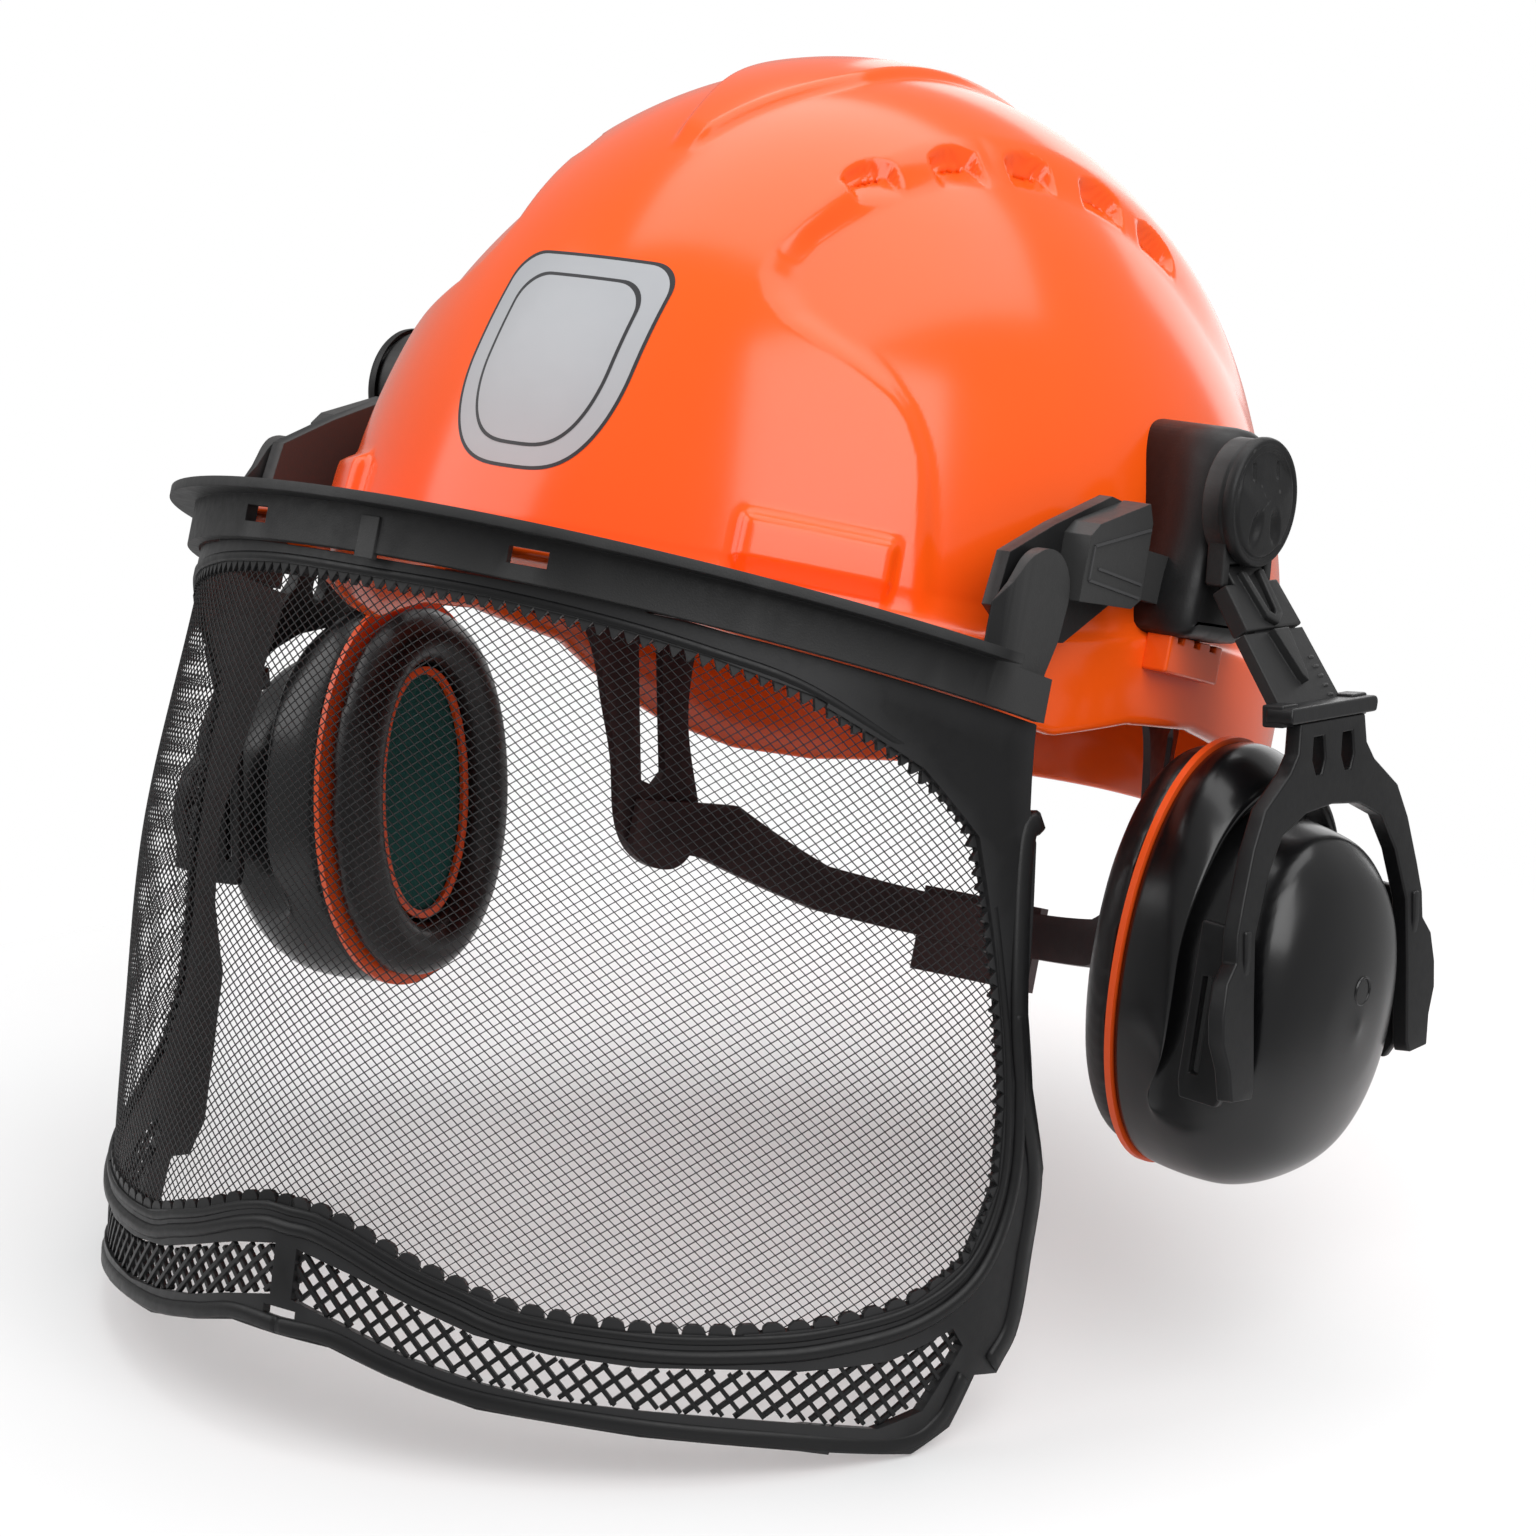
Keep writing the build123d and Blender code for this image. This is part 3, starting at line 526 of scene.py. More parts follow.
# ---------------------------------------------------------------- visor surface
VISOR_LEVELS = [(14, 110.3, -162.3, 2.0), (2, 110.6, -162.3, 2.0), (-60, 120.0, -157.4, 1.93),
                (-100, 121.5, -152.5, 1.8), (-137, 120.0, -148.0, 1.72), (-165, 115.0, -144.5, 1.72)]
BRIM_CENTRE_Y = -52
LEG_END_Y = -36
WINDOW_TOP = [(0, 7), (29, 7), (54, 5.6), (72, 3.3), (86, 0.2)]
WINDOW_SIDE = [(-104, -7), (-95.5, -11), (-80.5, -23), (-71, -56), (-65, -77), (-62, -96), (-66, -112),
               (-77, -123), (-92, -130.5), (-103, -134.5)]
CHIN_TOP = [(78, -138.3), (54, -139.7), (41, -137.3), (30, -134.8), (16, -130.4), (7, -128.5), (0, -128.5)]
LATTICE_TOP = [(3.4, -137.4), (17, -139.9), (30, -143), (45, -146.4), (60, -147.2), (76, -146.2), (89, -143.6)]
LATTICE_REAR = [(-96, -141.6), (-79, -136.4), (-66.5, -128.2), (-62.8, -131.2), (-68.6, -145.6), (-77, -150.6),
                (-96, -151.9)]
LATTICE_LOW = [(89, -153.3), (77, -154.6), (60, -156.2), (46, -155.6), (31, -153.7), (17, -150.4),
               (3.4, -147.7)]
ROW_STEP = 1.5
ALONG_STEP = 0.75


def eased_levels(z, column):
    """A smooth curve through the levels' numbers, as the lofted visor has."""
    heights = np.array([level[0] for level in VISOR_LEVELS])[::-1].astype(float)
    values = np.array([level[column] for level in VISOR_LEVELS])[::-1].astype(float)
    slopes = np.gradient(values, heights)
    i = np.clip(np.searchsorted(heights, z) - 1, 0, len(heights) - 2)
    width = heights[i + 1] - heights[i]
    t = (z - heights[i]) / width
    first = values[i] * (1 + 2 * t) * (1 - t) ** 2 + slopes[i] * width * t * (1 - t) ** 2
    return first + values[i + 1] * t * t * (3 - 2 * t) + slopes[i + 1] * width * t * t * (t - 1)


class VisorSkin:
    """The visor's outer surface, addressed by the way round it from the middle and the height."""

    def __init__(self):
        self.heights = np.arange(-166, 15.1, ROW_STEP)
        self.along = np.arange(0, 225, ALONG_STEP)
        rows = [self.level(z) for z in self.heights]
        self.x = np.array([r[0] for r in rows])
        self.y = np.array([r[1] for r in rows])

    def level(self, z):
        half, front, full = (float(eased_levels(np.array(z), c)) for c in (1, 2, 3))
        reach = BRIM_CENTRE_Y - front
        turn = np.linspace(pi / 2, 0, 240)
        x = half * np.abs(np.cos(turn)) ** (2 / full)
        y = BRIM_CENTRE_Y - reach * np.abs(np.sin(turn)) ** (2 / full)
        leg = np.linspace(BRIM_CENTRE_Y, LEG_END_Y + 30, 30)[1:]
        x = np.concatenate([x, np.full(len(leg), half)])
        y = np.concatenate([y, leg])
        length = np.concatenate([[0], np.cumsum(np.hypot(np.diff(x), np.diff(y)))])
        return np.interp(self.along, length, x), np.interp(self.along, length, y)

    def look_up(self, table, s, z):
        r = np.clip((z - self.heights[0]) / ROW_STEP, 0, len(self.heights) - 1.001)
        c = np.clip(np.abs(s) / ALONG_STEP, 0, len(self.along) - 1.001)
        i, j = r.astype(int), c.astype(int)
        u, v = r - i, c - j
        return ((1 - u) * (1 - v) * table[i, j] + u * (1 - v) * table[i + 1, j]
                + (1 - u) * v * table[i, j + 1] + u * v * table[i + 1, j + 1])

    def surface(self, s, z):
        s, z = np.asarray(s, float), np.asarray(z, float)
        side = np.where(s < 0, -1.0, 1.0)
        return np.stack([side * self.look_up(self.x, s, z), self.look_up(self.y, s, z), z], -1)

    def place(self, s, z, inset):
        """Points inset mm inside the surface (negative stands proud)."""
        s, z = np.asarray(s, float), np.asarray(z, float)
        round_it = self.surface(s + 0.8, z) - self.surface(s - 0.8, z)
        upward = self.surface(s, z + 1.5) - self.surface(s, z - 1.5)
        normal = np.cross(round_it, upward)
        normal /= np.linalg.norm(normal, axis=-1, keepdims=True)
        return self.surface(s, z) - normal * np.asarray(inset)[..., None]

    def from_front(self, points):
        """(x, z) outline points as (s, z)."""
        return [(float(np.interp(x, self.row(self.x, z), self.along)), z) for x, z in points]

    def from_side(self, points):
        """(y, z) outline points as (s, z)."""
        return [(float(np.interp(y, self.row(self.y, z), self.along)), z) for y, z in points]

    def row(self, table, z):
        r = min(max((z - self.heights[0]) / ROW_STEP, 0), len(self.heights) - 1.001)
        i = int(r)
        return table[i] * (i + 1 - r) + table[i + 1] * (r - i)


def smooth_path(points, step, closed=False):
    """A rounded polyline through the points, resampled at an even step."""
    points = np.array(points, float)
    if closed:
        points = np.vstack([points[-2:], points, points[:2]])
    else:
        points = np.vstack([2 * points[0] - points[1], points, 2 * points[-1] - points[-2]])
    fine = []
    for i in range(1, len(points) - 2):
        p0, p1, p2, p3 = points[i - 1: i + 3]
        for t in np.linspace(0, 1, 12, endpoint=False):
            fine.append(0.5 * (2 * p1 + (p2 - p0) * t + (2 * p0 - 5 * p1 + 4 * p2 - p3) * t ** 2
                               + (3 * p1 - p0 - 3 * p2 + p3) * t ** 3))
    fine.append(points[-2])
    fine = np.array(fine)
    if closed:
        fine = fine[12:-1]
    length = np.concatenate([[0], np.cumsum(np.linalg.norm(np.diff(fine, axis=0), axis=1))])
    count = max(2, int(round(length[-1] / step)))
    wanted = np.linspace(0, length[-1], count + 1)
    return np.stack([np.interp(wanted, length, fine[:, k]) for k in range(points.shape[1])], -1)


def path_normals(path):
    """Unit normals on the left of a flat path's direction."""
    along = np.gradient(path, axis=0)
    along /= np.linalg.norm(along, axis=1, keepdims=True) + 1e-9
    return np.stack([-along[:, 1], along[:, 0]], -1)


def grid_faces(rows, columns, closed_rows=False, closed_columns=False):
    faces = []
    for i in range(rows if closed_rows else rows - 1):
        for j in range(columns if closed_columns else columns - 1):
            a, b = i * columns + j, i * columns + (j + 1) % columns
            c, d = ((i + 1) % rows) * columns + (j + 1) % columns, ((i + 1) % rows) * columns + j
            faces.append((a, b, c, d))
    return faces


def surface_strip(skin, path, section, closed=False):
    """A moulded strip along a flat path on the visor; section is (across, inset) points."""
    normals = path_normals(path)
    columns = []
    for across, inset in section:
        flat = path + normals * across
        columns.append(skin.place(flat[:, 0], flat[:, 1], np.full(len(flat), float(inset))))
    points = np.stack(columns, 1).reshape(-1, 3)
    faces = grid_faces(len(path), len(section), closed, True)
    if not closed:
        faces.append(tuple(range(len(section)))[::-1])
        last = (len(path) - 1) * len(section)
        faces.append(tuple(range(last, last + len(section))))
    return points, faces


def gather(parts):
    """Several (points, faces) joined into one."""
    points, faces, start = [], [], 0
    for part_points, part_faces in parts:
        points.append(part_points)
        faces += [tuple(i + start for i in face) for face in part_faces]
        start += len(part_points)
    return np.concatenate(points), faces


def rounded_section(width, inset, proud, bevel=0.5):
    w = width / 2
    return [(-w, inset), (-w, -proud + bevel), (-w + bevel, -proud), (w - bevel, -proud), (w, -proud + bevel),
            (w, inset)]


def half_window(skin):
    path = skin.from_front(WINDOW_TOP) + skin.from_side(WINDOW_SIDE) + skin.from_front(CHIN_TOP)
    return smooth_path(path, 1.0)


def whole(half):
    """The closed loop of a half path that starts and ends on the middle line."""
    mirrored = half[::-1][1:-1] * [-1, 1]
    return np.vstack([half, mirrored])


def bar_net(skin, polygon, pitch_s, pitch_z, width, thick, inset, sample, margin):
    """Two crossing families of bars on the visor surface, kept inside a flat polygon."""
    low_s, low_z = polygon.min(0) - margin
    high_s, high_z = polygon.max(0) + margin
    parts = []
    ring = [tuple(p) for p in polygon]
    for family in (-1, 1):
        slope = family * pitch_s / pitch_z
        first = int(np.floor((low_s - abs(slope) * (high_z - low_z)) / pitch_s)) - 1
        last = int(np.ceil((high_s + abs(slope) * (high_z - low_z)) / pitch_s)) + 1
        z = np.arange(low_z, high_z, sample)
        for k in range(first, last):
            s = k * pitch_s + slope * (z - low_z)
            kept = inside(ring, s, z)
            starts = np.nonzero(np.diff(np.concatenate([[0], kept.astype(int), [0]])))[0].reshape(-1, 2)
            for a, b in starts:
                if b - a < 3:
                    continue
                parts.append(bar(skin, s[a:b], z[a:b], width, thick, inset + family * thick * 0.22))
    return gather(parts)


def bar(skin, s, z, width, thick, inset):
    path = np.stack([s, z], -1)
    section = [(-width / 2, inset + thick / 2), (-width / 2, inset - thick / 2), (width / 2, inset - thick / 2),
               (width / 2, inset + thick / 2)]
    return surface_strip(skin, path, section)


def make_wire(skin, window, materials):
    points, faces = bar_net(skin, window, 2.9, 2.2, 0.20, 0.20, 1.2, 1.1, 1)
    piece = mesh_piece("visor_wire", points, faces, materials["wire"], "visor")
    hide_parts("visor_mesh")


def make_teeth(skin, half, materials):
    """The frame's edge over the wire: small teeth above and beside, scallops along the chin."""
    parts = []
    length = np.concatenate([[0], np.cumsum(np.linalg.norm(np.diff(half, axis=0), axis=1))])
    lower = half[:, 1] < -118
    turn_over = length[np.argmax(lower)]
    for side in (1, -1):
        spot = 1.8
        while spot < length[-1] - 1.5:
            low = spot > turn_over
            pitch, deep = (5.8, 2.3) if low else (3.3, 2.4)
            parts.append(tooth(skin, half, length, spot, pitch, deep, side, low))
            spot += pitch
    points, faces = gather(parts)
    piece = mesh_piece("window_teeth", points, faces, materials["frame"], "visor", smooth=False)


def tooth(skin, half, length, spot, pitch, deep, side, low):
    ends = np.array([spot - pitch / 2, spot, spot + pitch / 2])
    base = np.stack([np.interp(ends, length, half[:, k]) for k in (0, 1)], -1)
    along = base[2] - base[0]
    along /= np.linalg.norm(along) + 1e-9
    inward = np.array([along[1], -along[0]])
    if low:
        shape = [(-0.46, 0), (-0.38, 0.62), (-0.18, 0.95), (0.18, 0.95), (0.38, 0.62), (0.46, 0)]
    else:
        shape = [(-0.5, 0), (-0.06, 1.0), (0.06, 1.0), (0.5, 0)]
    outline = [base[1] + along * pitch * a + inward * deep * b for a, b in shape]
    outline = [base[1] + along * pitch * shape[0][0] - inward * 1.2] + outline
    outline += [base[1] + along * pitch * shape[-1][0] - inward * 1.2]
    flat = np.array(outline) * [side, 1]
    top = skin.place(flat[:, 0], flat[:, 1], np.full(len(flat), 0.5))
    low_side = skin.place(flat[:, 0], flat[:, 1], np.full(len(flat), 1.9))
    n = len(flat)
    faces = [tuple(range(n)), tuple(range(2 * n - 1, n - 1, -1))]
    faces += [(i, n + i, n + (i + 1) % n, (i + 1) % n) for i in range(n)]
    return np.concatenate([top, low_side]), faces


def make_frame_detail(skin, half, materials):
    """Raised rim strips on the visor frame: round the window, along the legs and along the chin."""
    parts = []
    loop = whole(half)
    lip = [(across + 1.1, inset) for across, inset in rounded_section(2.0, 1.0, 0.35, 0.4)]
    parts.append(surface_strip(skin, loop, lip, True))
    flange = skin.from_side([(-61, -17), (-65.5, -23), (-65.3, -55), (-59.5, -75), (-50.5, -92), (-48.5, -110),
                             (-47.5, -126), (-51.5, -134.5)])
    chin_rim = skin.from_front([(0, -154.2), (14, -154), (28, -157), (47, -159.4), (77, -158.4), (98, -156.2)])
    heel = skin.from_side([(-71, -153.9), (-62.5, -148), (-59.5, -137.5)])
    for side in (1, -1):
        path = smooth_path(flange, 1.5) * [side, 1]
        parts.append(surface_strip(skin, path, rounded_section(5.2, 1.5, 0.9, 0.7)))
        path = smooth_path(chin_rim + heel, 1.5) * [side, 1]
        parts.append(surface_strip(skin, path, rounded_section(3.6, 1.0, 0.8, 0.6)))
    low = half[np.argmax(half[:, 1] < -60):]
    path = np.vstack([low[:-1], (low * [-1, 1])[::-1]])
    parts.append(surface_strip(skin, path, [(a + 4.6, i) for a, i in rounded_section(3.2, 1.2, 1.0, 0.9)]))
    points, faces = gather(parts)
    piece = mesh_piece("frame_strips", points, faces, materials["frame"], "visor")


def make_lattices(skin, materials):
    outline = skin.from_front(LATTICE_TOP) + skin.from_side(LATTICE_REAR) + skin.from_front(LATTICE_LOW)
    flat = np.array(outline)
    for side, name in ((1, "left"), (-1, "right")):
        centre = flat.mean(0)
        grown = centre + (flat - centre) * [1.01, 1.06]
        points, faces = bar_net(skin, grown, 5.0, 4.7, 0.95, 1.1, 1.2, 0.9, 0)
        points = points * [side, 1, 1]
        piece = mesh_piece(f"chin_bars_{name}", points, faces, materials["frame"], "visor", smooth=False)
        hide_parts(f"chin_lattice_{name}")


# ---------------------------------------------------------------- ear muffs
ADAPTER_OUTLINE = [(-21.5, 30), (-22.5, 40), (-20.5, 52), (-19, 64), (-17.4, 71), (-14, 76.4), (-8, 78.6),
                   (-2, 77.6), (3.2, 73), (5.8, 66), (6.4, 54), (6.6, 42), (5, 32), (0, 30.2), (-12, 29.6)]


def turned(axis, angle):
    return Matrix.Rotation(radians(angle), 4, axis)


MUFF_FRAME = Matrix.Translation((118, -14, 62)) @ turned("X", 12)
ARM_FRAME = MUFF_FRAME @ Matrix.Translation((2.6, 0, -16.8)) @ turned("Y", -37)
YOKE_FRAME = MUFF_FRAME @ Matrix.Translation((25.4, 0, -44.3)) @ turned("Y", -5.5)
CUP_FRAME = MUFF_FRAME @ Matrix.Translation((-1, 0, -103.3)) @ turned("Y", 4.6)
CUP_SECTIONS = [(1.6, 34.2, 49.2, -49.2, 2.1), (8, 36, 49.4, -49.8, 2.1), (16, 36.4, 44.5, -49.6, 2.2),
                (24, 34.6, 37, -48.4, 2.3), (32, 31.6, 32, -44.4, 2.3), (39, 25.6, 24, -37, 2.2),
                (43.2, 14, 11, -23, 2.1), (44.6, 1, -5, -8, 2.0)]


def moved(points, matrix):
    m = np.array(matrix)
    return np.asarray(points) @ m[:3, :3].T + m[:3, 3]


def both_sides(name, points, faces, material, body, node=None, smooth=True):
    """The wearer's left piece and its mirror image."""
    pieces = []
    for side, sign in (("left", 1), ("right", -1)):
        placed = np.asarray(points) * [sign, 1, 1]
        turned_faces = faces if sign > 0 else [tuple(reversed(face)) for face in faces]
        carrier = body if body == "shell" else f"{body}_{side}"
        piece = mesh_piece(f"{name}_{side}", placed, turned_faces, material, carrier, smooth)
        if node:
            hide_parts(*[f"{n}_{side}" for n in node])
        pieces.append(piece)
    return pieces


def oval_row(depth, half, top, bottom, fullness, count):
    turn = np.linspace(0, 2 * pi, count, endpoint=False)
    across = half * np.sign(np.cos(turn)) * np.abs(np.cos(turn)) ** (2 / fullness)
    upward = (top - bottom) / 2 * np.sign(np.sin(turn)) * np.abs(np.sin(turn)) ** (2 / fullness)
    return np.stack([np.full(count, depth), across, (top + bottom) / 2 + upward], -1)


def cup_shelf(points):
    """Lowers the cup round its middle dome to the shelf that the yoke's legs reach into."""
    depth, across, upward = points.T
    arch = np.where(upward > 3, np.hypot(across / 30.5, (upward - 3) / 33), np.abs(across) / 30.5)
    outside = smoothstep(arch, 0.94, 1.05) * smoothstep(upward, -40, -34)
    shelf = 12.5 + 4.5 * smoothstep(arch, 1.06, 1.2)
    lowered = depth + (np.minimum(depth, shelf) - depth) * outside
    return np.stack([lowered, across, upward], -1)


def make_cups(materials):
    rows = smooth_path(CUP_SECTIONS, 1.1)
    count = 260
    outer = [cup_shelf(oval_row(*row, count)) for row in rows]
    back = [(16, 30, 44, -45, 2.1), (6, 31.4, 46.4, -46.4, 2.1), (1.9, 32.0, 47.0, -47.0, 2.1),
            (1.6, 32.8, 47.8, -47.8, 2.1)]
    loops = [oval_row(*row, count) for row in back] + outer
    points = np.concatenate(loops + [[[45.0, 0, -7.2]], [[16.0, 0, 0]]])
    faces = grid_faces(len(loops), count, False, True)
    last, tip = (len(loops) - 1) * count, len(loops) * count
    faces += [(last + j, last + (j + 1) % count, tip) for j in range(count)]
    faces += [((j + 1) % count, j, tip + 1) for j in range(count)]
    faces = [tuple(reversed(face)) for face in faces]
    for piece in both_sides("cup_shell", moved(points, CUP_FRAME), faces, materials["cup"], "cup",
                            ["cup_skirt", "cup_dome"]):
        smooth = piece.modifiers.new("rounding", "SMOOTH")
        smooth.iterations = 5
        apply_modifiers(piece)
    ring = []
    for radius, depth in ((3.5, 42.6), (3.4, 44.3), (3.15, 44.45), (2.9, 44.3), (2.8, 42.6)):
        turn = np.linspace(0, 2 * pi, 48, endpoint=False)
        ring.append(np.stack([np.full(48, depth), radius * np.cos(turn), 2 + radius * np.sin(turn)], -1))
    both_sides("gate_mark", moved(np.concatenate(ring), CUP_FRAME), grid_faces(5, 48, False, True),
               materials["cup"], "cup", None)


def ring_loop(section, count):
    """A closed oval ring about the muff's middle; section is (shrink, depth) points."""
    loops = []
    for shrink, depth in section:
        loops.append(oval_row(depth, 35 - shrink, 50 - shrink, shrink - 50, 2.1, count))
    return np.stack(loops, 1).reshape(-1, 3), grid_faces(count, len(section), True, True)


def puffed(piece, size, pressure, cap, skip):
    """Swells a closed soft piece with a short cloth run, caps the movement, then rounds it once more."""
    scene = bpy.context.scene
    remesh = piece.modifiers.new("remesh", "REMESH")
    remesh.mode = "VOXEL"
    remesh.voxel_size = size * MM
    apply_modifiers(piece)
    if not skip:
        before = np.array([v.co for v in piece.data.vertices])
        cloth = piece.modifiers.new("cloth", "CLOTH")
        cloth.settings.use_pressure = True
        cloth.settings.uniform_pressure_force = pressure
        cloth.settings.effector_weights.gravity = 0
        cloth.point_cache.frame_start = 1
        cloth.point_cache.frame_end = 20
        for step in range(1, 21):
            scene.frame_set(step)
        apply_modifiers(piece)
        after = np.array([v.co for v in piece.data.vertices])
        shift = after - before
        length = np.linalg.norm(shift, axis=1, keepdims=True)
        shift *= np.minimum(1, cap * MM / np.maximum(length, 1e-9))
        piece.data.vertices.foreach_set("co", (before + shift).ravel())
        scene.frame_set(1)
    smooth = piece.modifiers.new("rounding", "SMOOTH")
    smooth.iterations = 4
    subdivide = piece.modifiers.new("subdivide", "SUBSURF")
    subdivide.levels = subdivide.render_levels = 1
    apply_modifiers(piece)
    piece.data.shade_smooth()


def apply_modifiers(piece):
    depsgraph = bpy.context.evaluated_depsgraph_get()
    data = bpy.data.meshes.new_from_object(piece.evaluated_get(depsgraph), depsgraph=depsgraph)
    piece.modifiers.clear()
    old = piece.data
    piece.data = data
    bpy.data.meshes.remove(old)


def make_cushions(materials):
    section = [(16.2, -1.0), (16.6, -4), (15.8, -7.5), (13.6, -10), (10.6, -10.8), (7.0, -9.8), (4.0, -7.2),
               (2.6, -4), (2.4, -1.0)]
    points, faces = ring_loop(section, 120)
    points = moved(points, CUP_FRAME)
    vinyl = materials["vinyl"]
    for piece in both_sides("cushion", points, faces, vinyl, "cup", ["ear_cushion"]):
        puffed(piece, 1.6, 3.0, 1.6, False)
    foam = [(17.6, 7.5), (17.6, -2.6), (18.4, -3.6), (21, -3.9), (25, -3.9), (29, -3.9), (33.5, -3.9)]
    loops = [oval_row(d, 35 - s, 50 - s, s - 50, 2.1, 160) for s, d in foam]
    last_loop = tuple(range((len(loops) - 1) * 160, len(loops) * 160))
    faces = grid_faces(len(loops), 160, False, True) + [last_loop]
    pads = both_sides("foam_pad", moved(np.concatenate(loops), CUP_FRAME), faces, materials["foam"], "cup",
                      ["cup_foam"])


def plate(outline, x0, x1, holes=()):
    """A flat plate facing outward with holes, its outlines as (across, up)."""
    rings = [list(outline)] + [list(hole) for hole in holes]
    flat, edges = [], []
    for ring in rings:
        start = len(flat)
        flat += [Vector(p) for p in ring]
        edges += [(start + i, start + (i + 1) % len(ring)) for i in range(len(ring))]
    result = delaunay_2d_cdt(flat, edges, [], 0, 1e-6)
    n = len(result[0])
    points = [(x0, v.x, v.y) for v in result[0]] + [(x1, v.x, v.y) for v in result[0]]
    faces = []
    for face in result[2]:
        middle = sum((result[0][i] for i in face), Vector((0, 0))) / len(face)
        in_hole = any(inside(list(hole), middle.x, middle.y) for hole in holes)
        if in_hole or not inside(list(outline), middle.x, middle.y):
            continue
        faces.append(tuple(reversed(face)))
        faces.append(tuple(i + n for i in face))
    sides = {}
    for face in faces[1::2]:
        for a, b in zip(face, face[1:] + face[:1]):
            sides[(a, b)] = True
    for a, b in sides:
        if (b, a) not in sides:
            faces.append((b, a, a - n, b - n))
    return np.array(points, float), faces


def bevelled(pieces, width, segments=2):
    for piece in pieces:
        bevel = piece.modifiers.new("bevel", "BEVEL")
        bevel.width = width * MM
        bevel.segments = segments
        bevel.limit_method = "ANGLE"
        bevel.angle_limit = radians(35)
        piece.data.shade_smooth()
        normals = piece.modifiers.new("normals", "WEIGHTED_NORMAL")
        normals.keep_sharp = True


def mirrored(points):
    return [(-y, z) for y, z in reversed(points)]


def make_yokes(materials):
    outer = [(14.5, -1.5), (15.5, -8), (19, -12), (30, -19), (35, -27), (39.5, -38), (42, -45), (42.4, -51),
             (46.4, -55), (48.2, -62), (48.2, -68), (45.6, -74), (44.6, -81)]
    inner = [(35.8, -81.6), (34.8, -79), (34.8, -62), (34.2, -46), (29, -34), (22.5, -25.5), (12, -21.6),
             (0, -20.6)]
    outline = outer + inner + mirrored(inner[:-1]) + mirrored(outer)
    slots = []
    for middle in (-6.5, 6.5):
        slots.append([(middle - 2.2, -5), (middle + 2.2, -5), (middle + 2.8, -10), (middle + 1.2, -13.4),
                      (middle - 1.2, -13.4), (middle - 2.8, -10)])
    parts = [plate(outline, 0.4, 4.4, slots)]
    crossbar = [(-19, -1.4), (19, -1.4), (19.6, 0.4), (19, 2.2), (-19, 2.2), (-19.6, 0.4)]
    parts.append(plate(crossbar, -2.0, 4.9))
    for middle in (-15.6, 15.6):
        parts.append(plate([(middle - 3.4, -2.2), (middle + 3.4, -2.2), (middle + 3.4, 2.8),
                            (middle - 3.4, 2.8)],
                           -3.2, 2.4))
    points, faces = gather(parts)
    placed = [(moved(points, YOKE_FRAME), faces)]
    for side in (-1, 1):
        tongue = [(-7.0, 18), (4.4, 18), (5.4, 12), (5.4, -2), (4.0, -4), (4.0, -8), (5.4, -10),
                  (5.4, -18), (3.4, -22), (-6.0, -22), (-7.0, -18)]
        slot = [(-4.4, 6), (-2.4, 6), (-2.4, -16), (-4.4, -16)]
        flat, flat_faces = plate(tongue, 0, 2.6, [slot])
        turned_flat = np.stack([30 + flat[:, 1], side * (36.9 + flat[:, 0]), flat[:, 2]], -1)
        if side > 0:
            flat_faces = [tuple(reversed(face)) for face in flat_faces]
        placed.append((moved(turned_flat, CUP_FRAME), flat_faces))
    points, faces = gather(placed)
    frames = both_sides("yoke_frame", points, faces, materials["yoke"], "slider", ["yoke"])
    bevelled(frames, 0.7)


def cap_height(u, v):
    """Relief of the hub cap: two short ticks in a sunk upper half, two drops in the raised lower half."""
    r = np.hypot(u, v)
    height = 2.6 - 0.9 * (r / 14) ** 2
    height -= 0.6 * np.exp(-((r - 12.6) / 0.5) ** 2)
    brow = v - 0.6 - 0.045 * u ** 2
    height -= 1.0 * smoothstep(brow, -2.6, 4.5) * (1 - smoothstep(r, 11.4, 12.2))
    for side in (-1, 1):
        tick = smoothstep(0.6 - np.abs(u - side * 5.2), 0, 0.4)
        height -= 0.8 * tick * smoothstep(v, 4.6, 5.4) * (1 - smoothstep(v, 8.6, 9.4))
        lean = radians(side * 16)
        a = (u - side * 4.2) * cos(lean) + (v + 5.4) * sin(lean)
        b = -(u - side * 4.2) * sin(lean) + (v + 5.4) * cos(lean)
        drop = np.hypot(a / 2.4, b / 4.6)
        height -= 1.2 * (1 - smoothstep(drop, 0.3, 1.1))
    return height


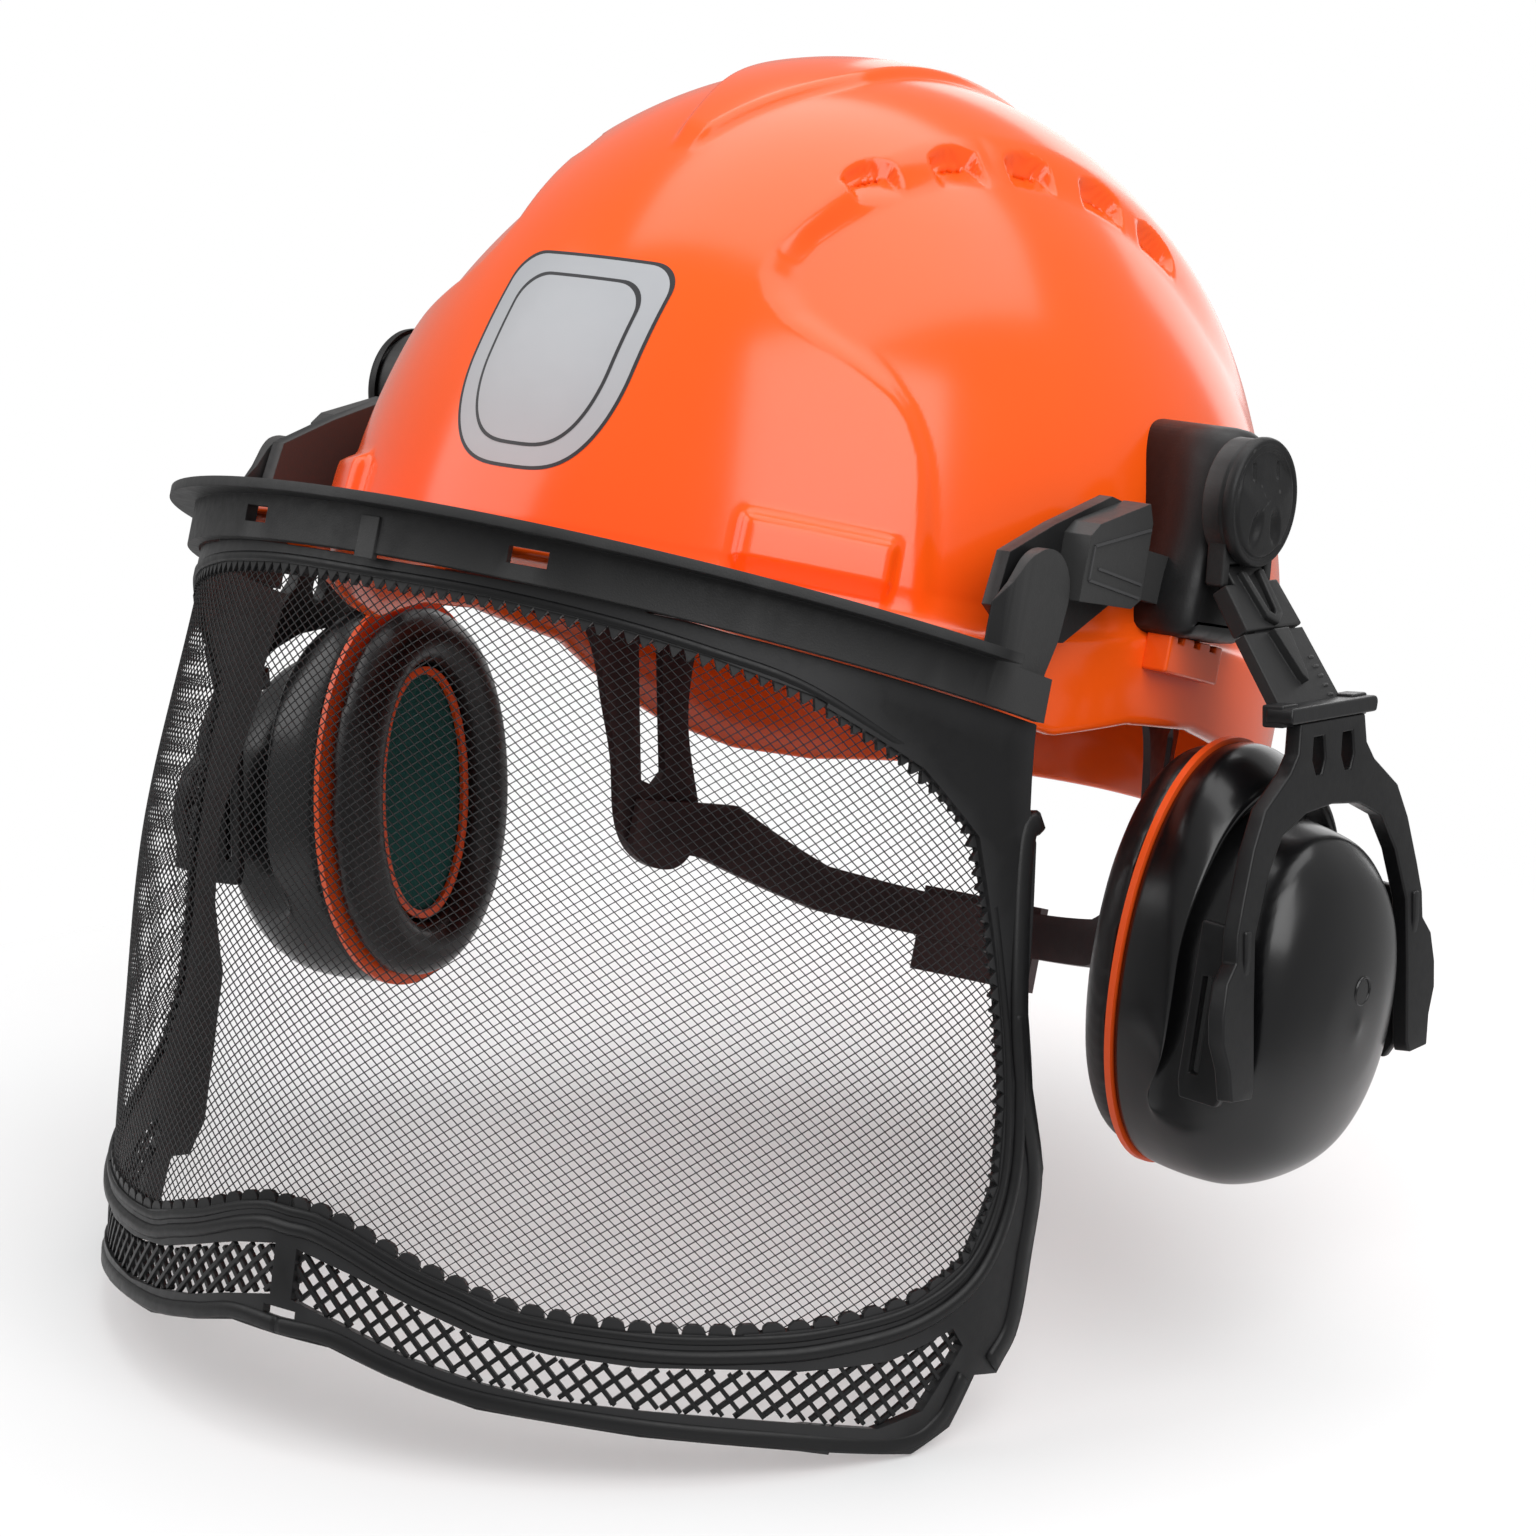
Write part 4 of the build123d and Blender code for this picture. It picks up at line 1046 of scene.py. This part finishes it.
def make_hub_caps(materials):
    count, rings = 160, 60
    turn = np.linspace(0, 2 * pi, count, endpoint=False)
    loops = []
    for k in range(rings):
        r = 14.1 * (1 - k / rings)
        u, v = r * np.cos(turn), r * np.sin(turn)
        loops.append(np.stack([cap_height(u, v), u, v], -1))
    rim = [np.stack([np.full(count, h), r * np.cos(turn), r * np.sin(turn)], -1)
           for r, h in ((14.6, -0.8), (14.7, 0.2), (14.5, 1.1))]
    points = np.concatenate(rim + loops + [[[cap_height(np.array(0.0), np.array(0.0)), 0, 0]]])
    rows = len(rim) + rings
    faces = grid_faces(rows, count, False, True)
    last = (rows - 1) * count
    faces += [(last + j, last + (j + 1) % count, rows * count) for j in range(count)]
    faces = [tuple(reversed(face)) for face in faces]
    points = moved(points, MUFF_FRAME @ Matrix.Translation((6.2, 0, 0)))
    both_sides("hub_cap", points, faces, materials["arm"], "hub", None)
    neck = [(-10.8, -5), (10.8, -5), (10.6, -18.6), (7.9, -18.6), (7.9, -13.8), (-7.9, -13.8), (-7.9, -18.6),
            (-10.6, -18.6)]
    points, faces = plate(neck, 0.2, 4.9)
    bevelled(both_sides("hub_neck", moved(points, MUFF_FRAME), faces, materials["arm"], "hub", None), 0.6)


def make_arms(materials):
    """The hinged arm plate with its U-shaped rib, and the wider slider plate with its pointer below it."""
    arm = [(-7.6, 1.4), (7.6, 1.4), (7.6, -2.9), (11.4, -2.9), (12.2, -14.6), (-12.2, -14.6),
           (-11.4, -2.9), (-7.6, -2.9)]
    u_rib = [(-4.8, -0.6), (-3.4, -12.4), (0, -14.4), (3.4, -12.4), (4.8, -0.6), (2.8, -0.6), (1.5, -11),
             (0, -12), (-1.5, -11), (-2.8, -0.6)]
    points, faces = gather([plate(arm, -2, 2.2), plate(u_rib, 2.0, 3.8)])
    bevelled(both_sides("arm_face", moved(points, ARM_FRAME), faces, materials["arm"], "arm", ["arm_plate"]), 0.5)
    slider = [(-13, -15.0), (13, -15.0), (13.6, -34.6), (12.6, -36), (-12.6, -36), (-13.6, -34.6)]
    pointer = [(-3.2, -15.4), (3.2, -15.4), (1.2, -27), (0, -29), (-1.2, -27)]
    parts = [plate(slider, -1.6, 1.4), plate([(-7, -3.4), (7, -3.4), (7, -16), (-7, -16)], -0.9, 0.9),
             plate(pointer, 1.2, 3.6)]
    for k in range(5):
        low = -32.6 + 2.4 * k
        parts.append(plate([(8.6, low), (10.8, low), (10.8, low + 0.7), (8.6, low + 0.7)], 1.2, 1.75))
    points, faces = gather(parts)
    bevelled(both_sides("slider_face", moved(points, ARM_FRAME), faces, materials["arm"], "slider",
                        ["height_slider"]), 0.4)


def make_cover_lines(materials):
    """The fine raised lines on the carrier covers, in a lighter grey that paints the highlight along their
    ridges.
    """
    lines = (((-60, 43.5), (-38, 50.5)), ((-60, 36), (-60, 43.5)), ((-60, 36), (-38, 35.2)),
             ((-57, 39), (-38, 38.2)))
    parts = []
    for start, end in lines:
        a, b = np.array(start, float), np.array(end, float)
        along = (b - a) / np.linalg.norm(b - a)
        aside = np.array([-along[1], along[0]]) * 0.3
        parts.append(plate([tuple(p) for p in (a - aside, b - aside, b + aside, a + aside)], 112.2, 112.75))
    points, faces = gather(parts)
    both_sides("cover_lines", points, faces, materials["worn"], "shell", None, False)


def make_adapters(materials):
    """The rounded block between dome and hub, and the orange socket in the rim that its foot plugs into."""
    outline = smooth_path(ADAPTER_OUTLINE, 1.2, True)[:-1]
    normals = path_normals(np.vstack([outline[-1:], outline, outline[:1]]))[1:-1]
    loops = []
    for x, inset in ((None, 0), (111.5, 0), (114.6, 0.4), (116.4, 1.3), (117.2, 2.6), (117.5, 4.2)):
        flat = outline - normals * inset
        share = (flat[:, 0] - SHELL_CENTRE[1]) ** 2 / SHELL_RADII[1] ** 2
        share = share + (flat[:, 1] - SHELL_CENTRE[2]) ** 2 / SHELL_RADII[2] ** 2
        dome = SHELL_RADII[0] * np.sqrt(1 - share) - 1.6
        loops.append(np.column_stack([dome if x is None else np.full(len(flat), x), flat]))
    count = len(outline)
    faces = grid_faces(len(loops), count, False, True)
    faces.append(tuple(range((len(loops) - 1) * count, len(loops) * count)))
    faces.append(tuple(range(count))[::-1])
    both_sides("adapter_block", np.concatenate(loops), faces, materials["arm"], "shell", ["adapter"])
    turn = np.linspace(0, 2 * pi, 24, endpoint=False)
    eye, hole = [[(12 + r * cos(t), 37 + r * sin(t)) for t in turn] for r in (5, 2)]
    points, faces = plate(eye, 108, 112.5, [hole])
    bevelled(both_sides("adapter_eye", points, faces, materials["arm"], "shell", None), 0.6)
    socket = [(-20, 21), (4, 21), (4, 29.6), (0.4, 29.6), (0.4, 28.2), (-1.6, 28.2), (-1.6, 29.6), (-7, 29.6),
              (-7, 28.2), (-9, 28.2), (-9, 29.6), (-14.4, 29.6), (-14.4, 28.2), (-16.4, 28.2),
              (-16.4, 29.6), (-20, 29.6)]
    points, faces = plate(socket, 105.5, 112.2)
    sockets = both_sides("foot_socket", points, faces, materials["orange"], "shell", None)
    bevelled(sockets, 0.8)


# ---------------------------------------------------------------- harness
def make_straps(materials):
    """Webbing with thick sewn edges that follows each arch over the head."""
    for name, angle in (("front", 90), ("left", 30), ("right", -30)):
        lo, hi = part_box(f"crown_strap_{name}")
        base, top = lo.z / MM, hi.z / MM
        reach = 1 / hypot(cos(radians(angle)) / 80, sin(radians(angle)) / 96) - 0.7
        turn = np.linspace(0, pi, 90)
        section = [(-8.8, -0.5), (-8.0, -0.75), (-7.2, -0.45), (7.2, -0.45), (8.0, -0.75), (8.8, -0.5),
                   (8.8, 0.4), (-8.8, 0.4)]
        loops = []
        for across, inset in section:
            r, h = reach - inset, top - base - 0.7 - inset
            x, z = r * np.cos(turn), base + h * np.sin(turn)
            direction = np.array([cos(radians(angle)), sin(radians(angle))])
            aside = np.array([-direction[1], direction[0]])
            plan = x[:, None] * direction + across * aside
            loops.append(np.stack([plan[:, 0], 5 + plan[:, 1], z], -1))
        points = np.stack(loops, 1).reshape(-1, 3)
        faces = grid_faces(len(turn), len(section), False, True)
        piece = mesh_piece(f"strap_{name}", points, faces, materials["webbing"], "shell")
        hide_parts(f"crown_strap_{name}")


def node_materials(materials):
    rules = [("cup_ring", "trim"), ("cup_inner_ring", "trim"), ("cup_skirt", "cup"), ("cup_dome", "cup"),
             ("yoke", "yoke"), ("height_slider", "yoke"), ("arm_", "arm"), ("adapter", "arm"),
             ("hub_axle", "arm"), ("visor_holder", "spark"), ("visor_carrier", "arm"), ("carrier_cover", "arm"),
             ("visor_frame", "frame"), ("headband", "harness"), ("hanger", "harness"), ("nape", "harness")]
    for name, node in NODES.items():
        for start, key in rules:
            if name.startswith(start):
                node.data.materials.clear()
                node.data.materials.append(materials[key])


def main():
    make_camera()
    make_floor()
    make_lights()
    materials = make_materials()
    node_materials(materials)
    make_shell(materials["orange"])
    make_emblem(materials)
    skin = VisorSkin()
    half = half_window(skin)
    make_wire(skin, whole(half), materials)
    make_teeth(skin, half, materials)
    make_frame_detail(skin, half, materials)
    make_lattices(skin, materials)
    make_cups(materials)
    make_cushions(materials)
    make_yokes(materials)
    make_hub_caps(materials)
    make_arms(materials)
    make_adapters(materials)
    make_cover_lines(materials)
    make_straps(materials)


main()
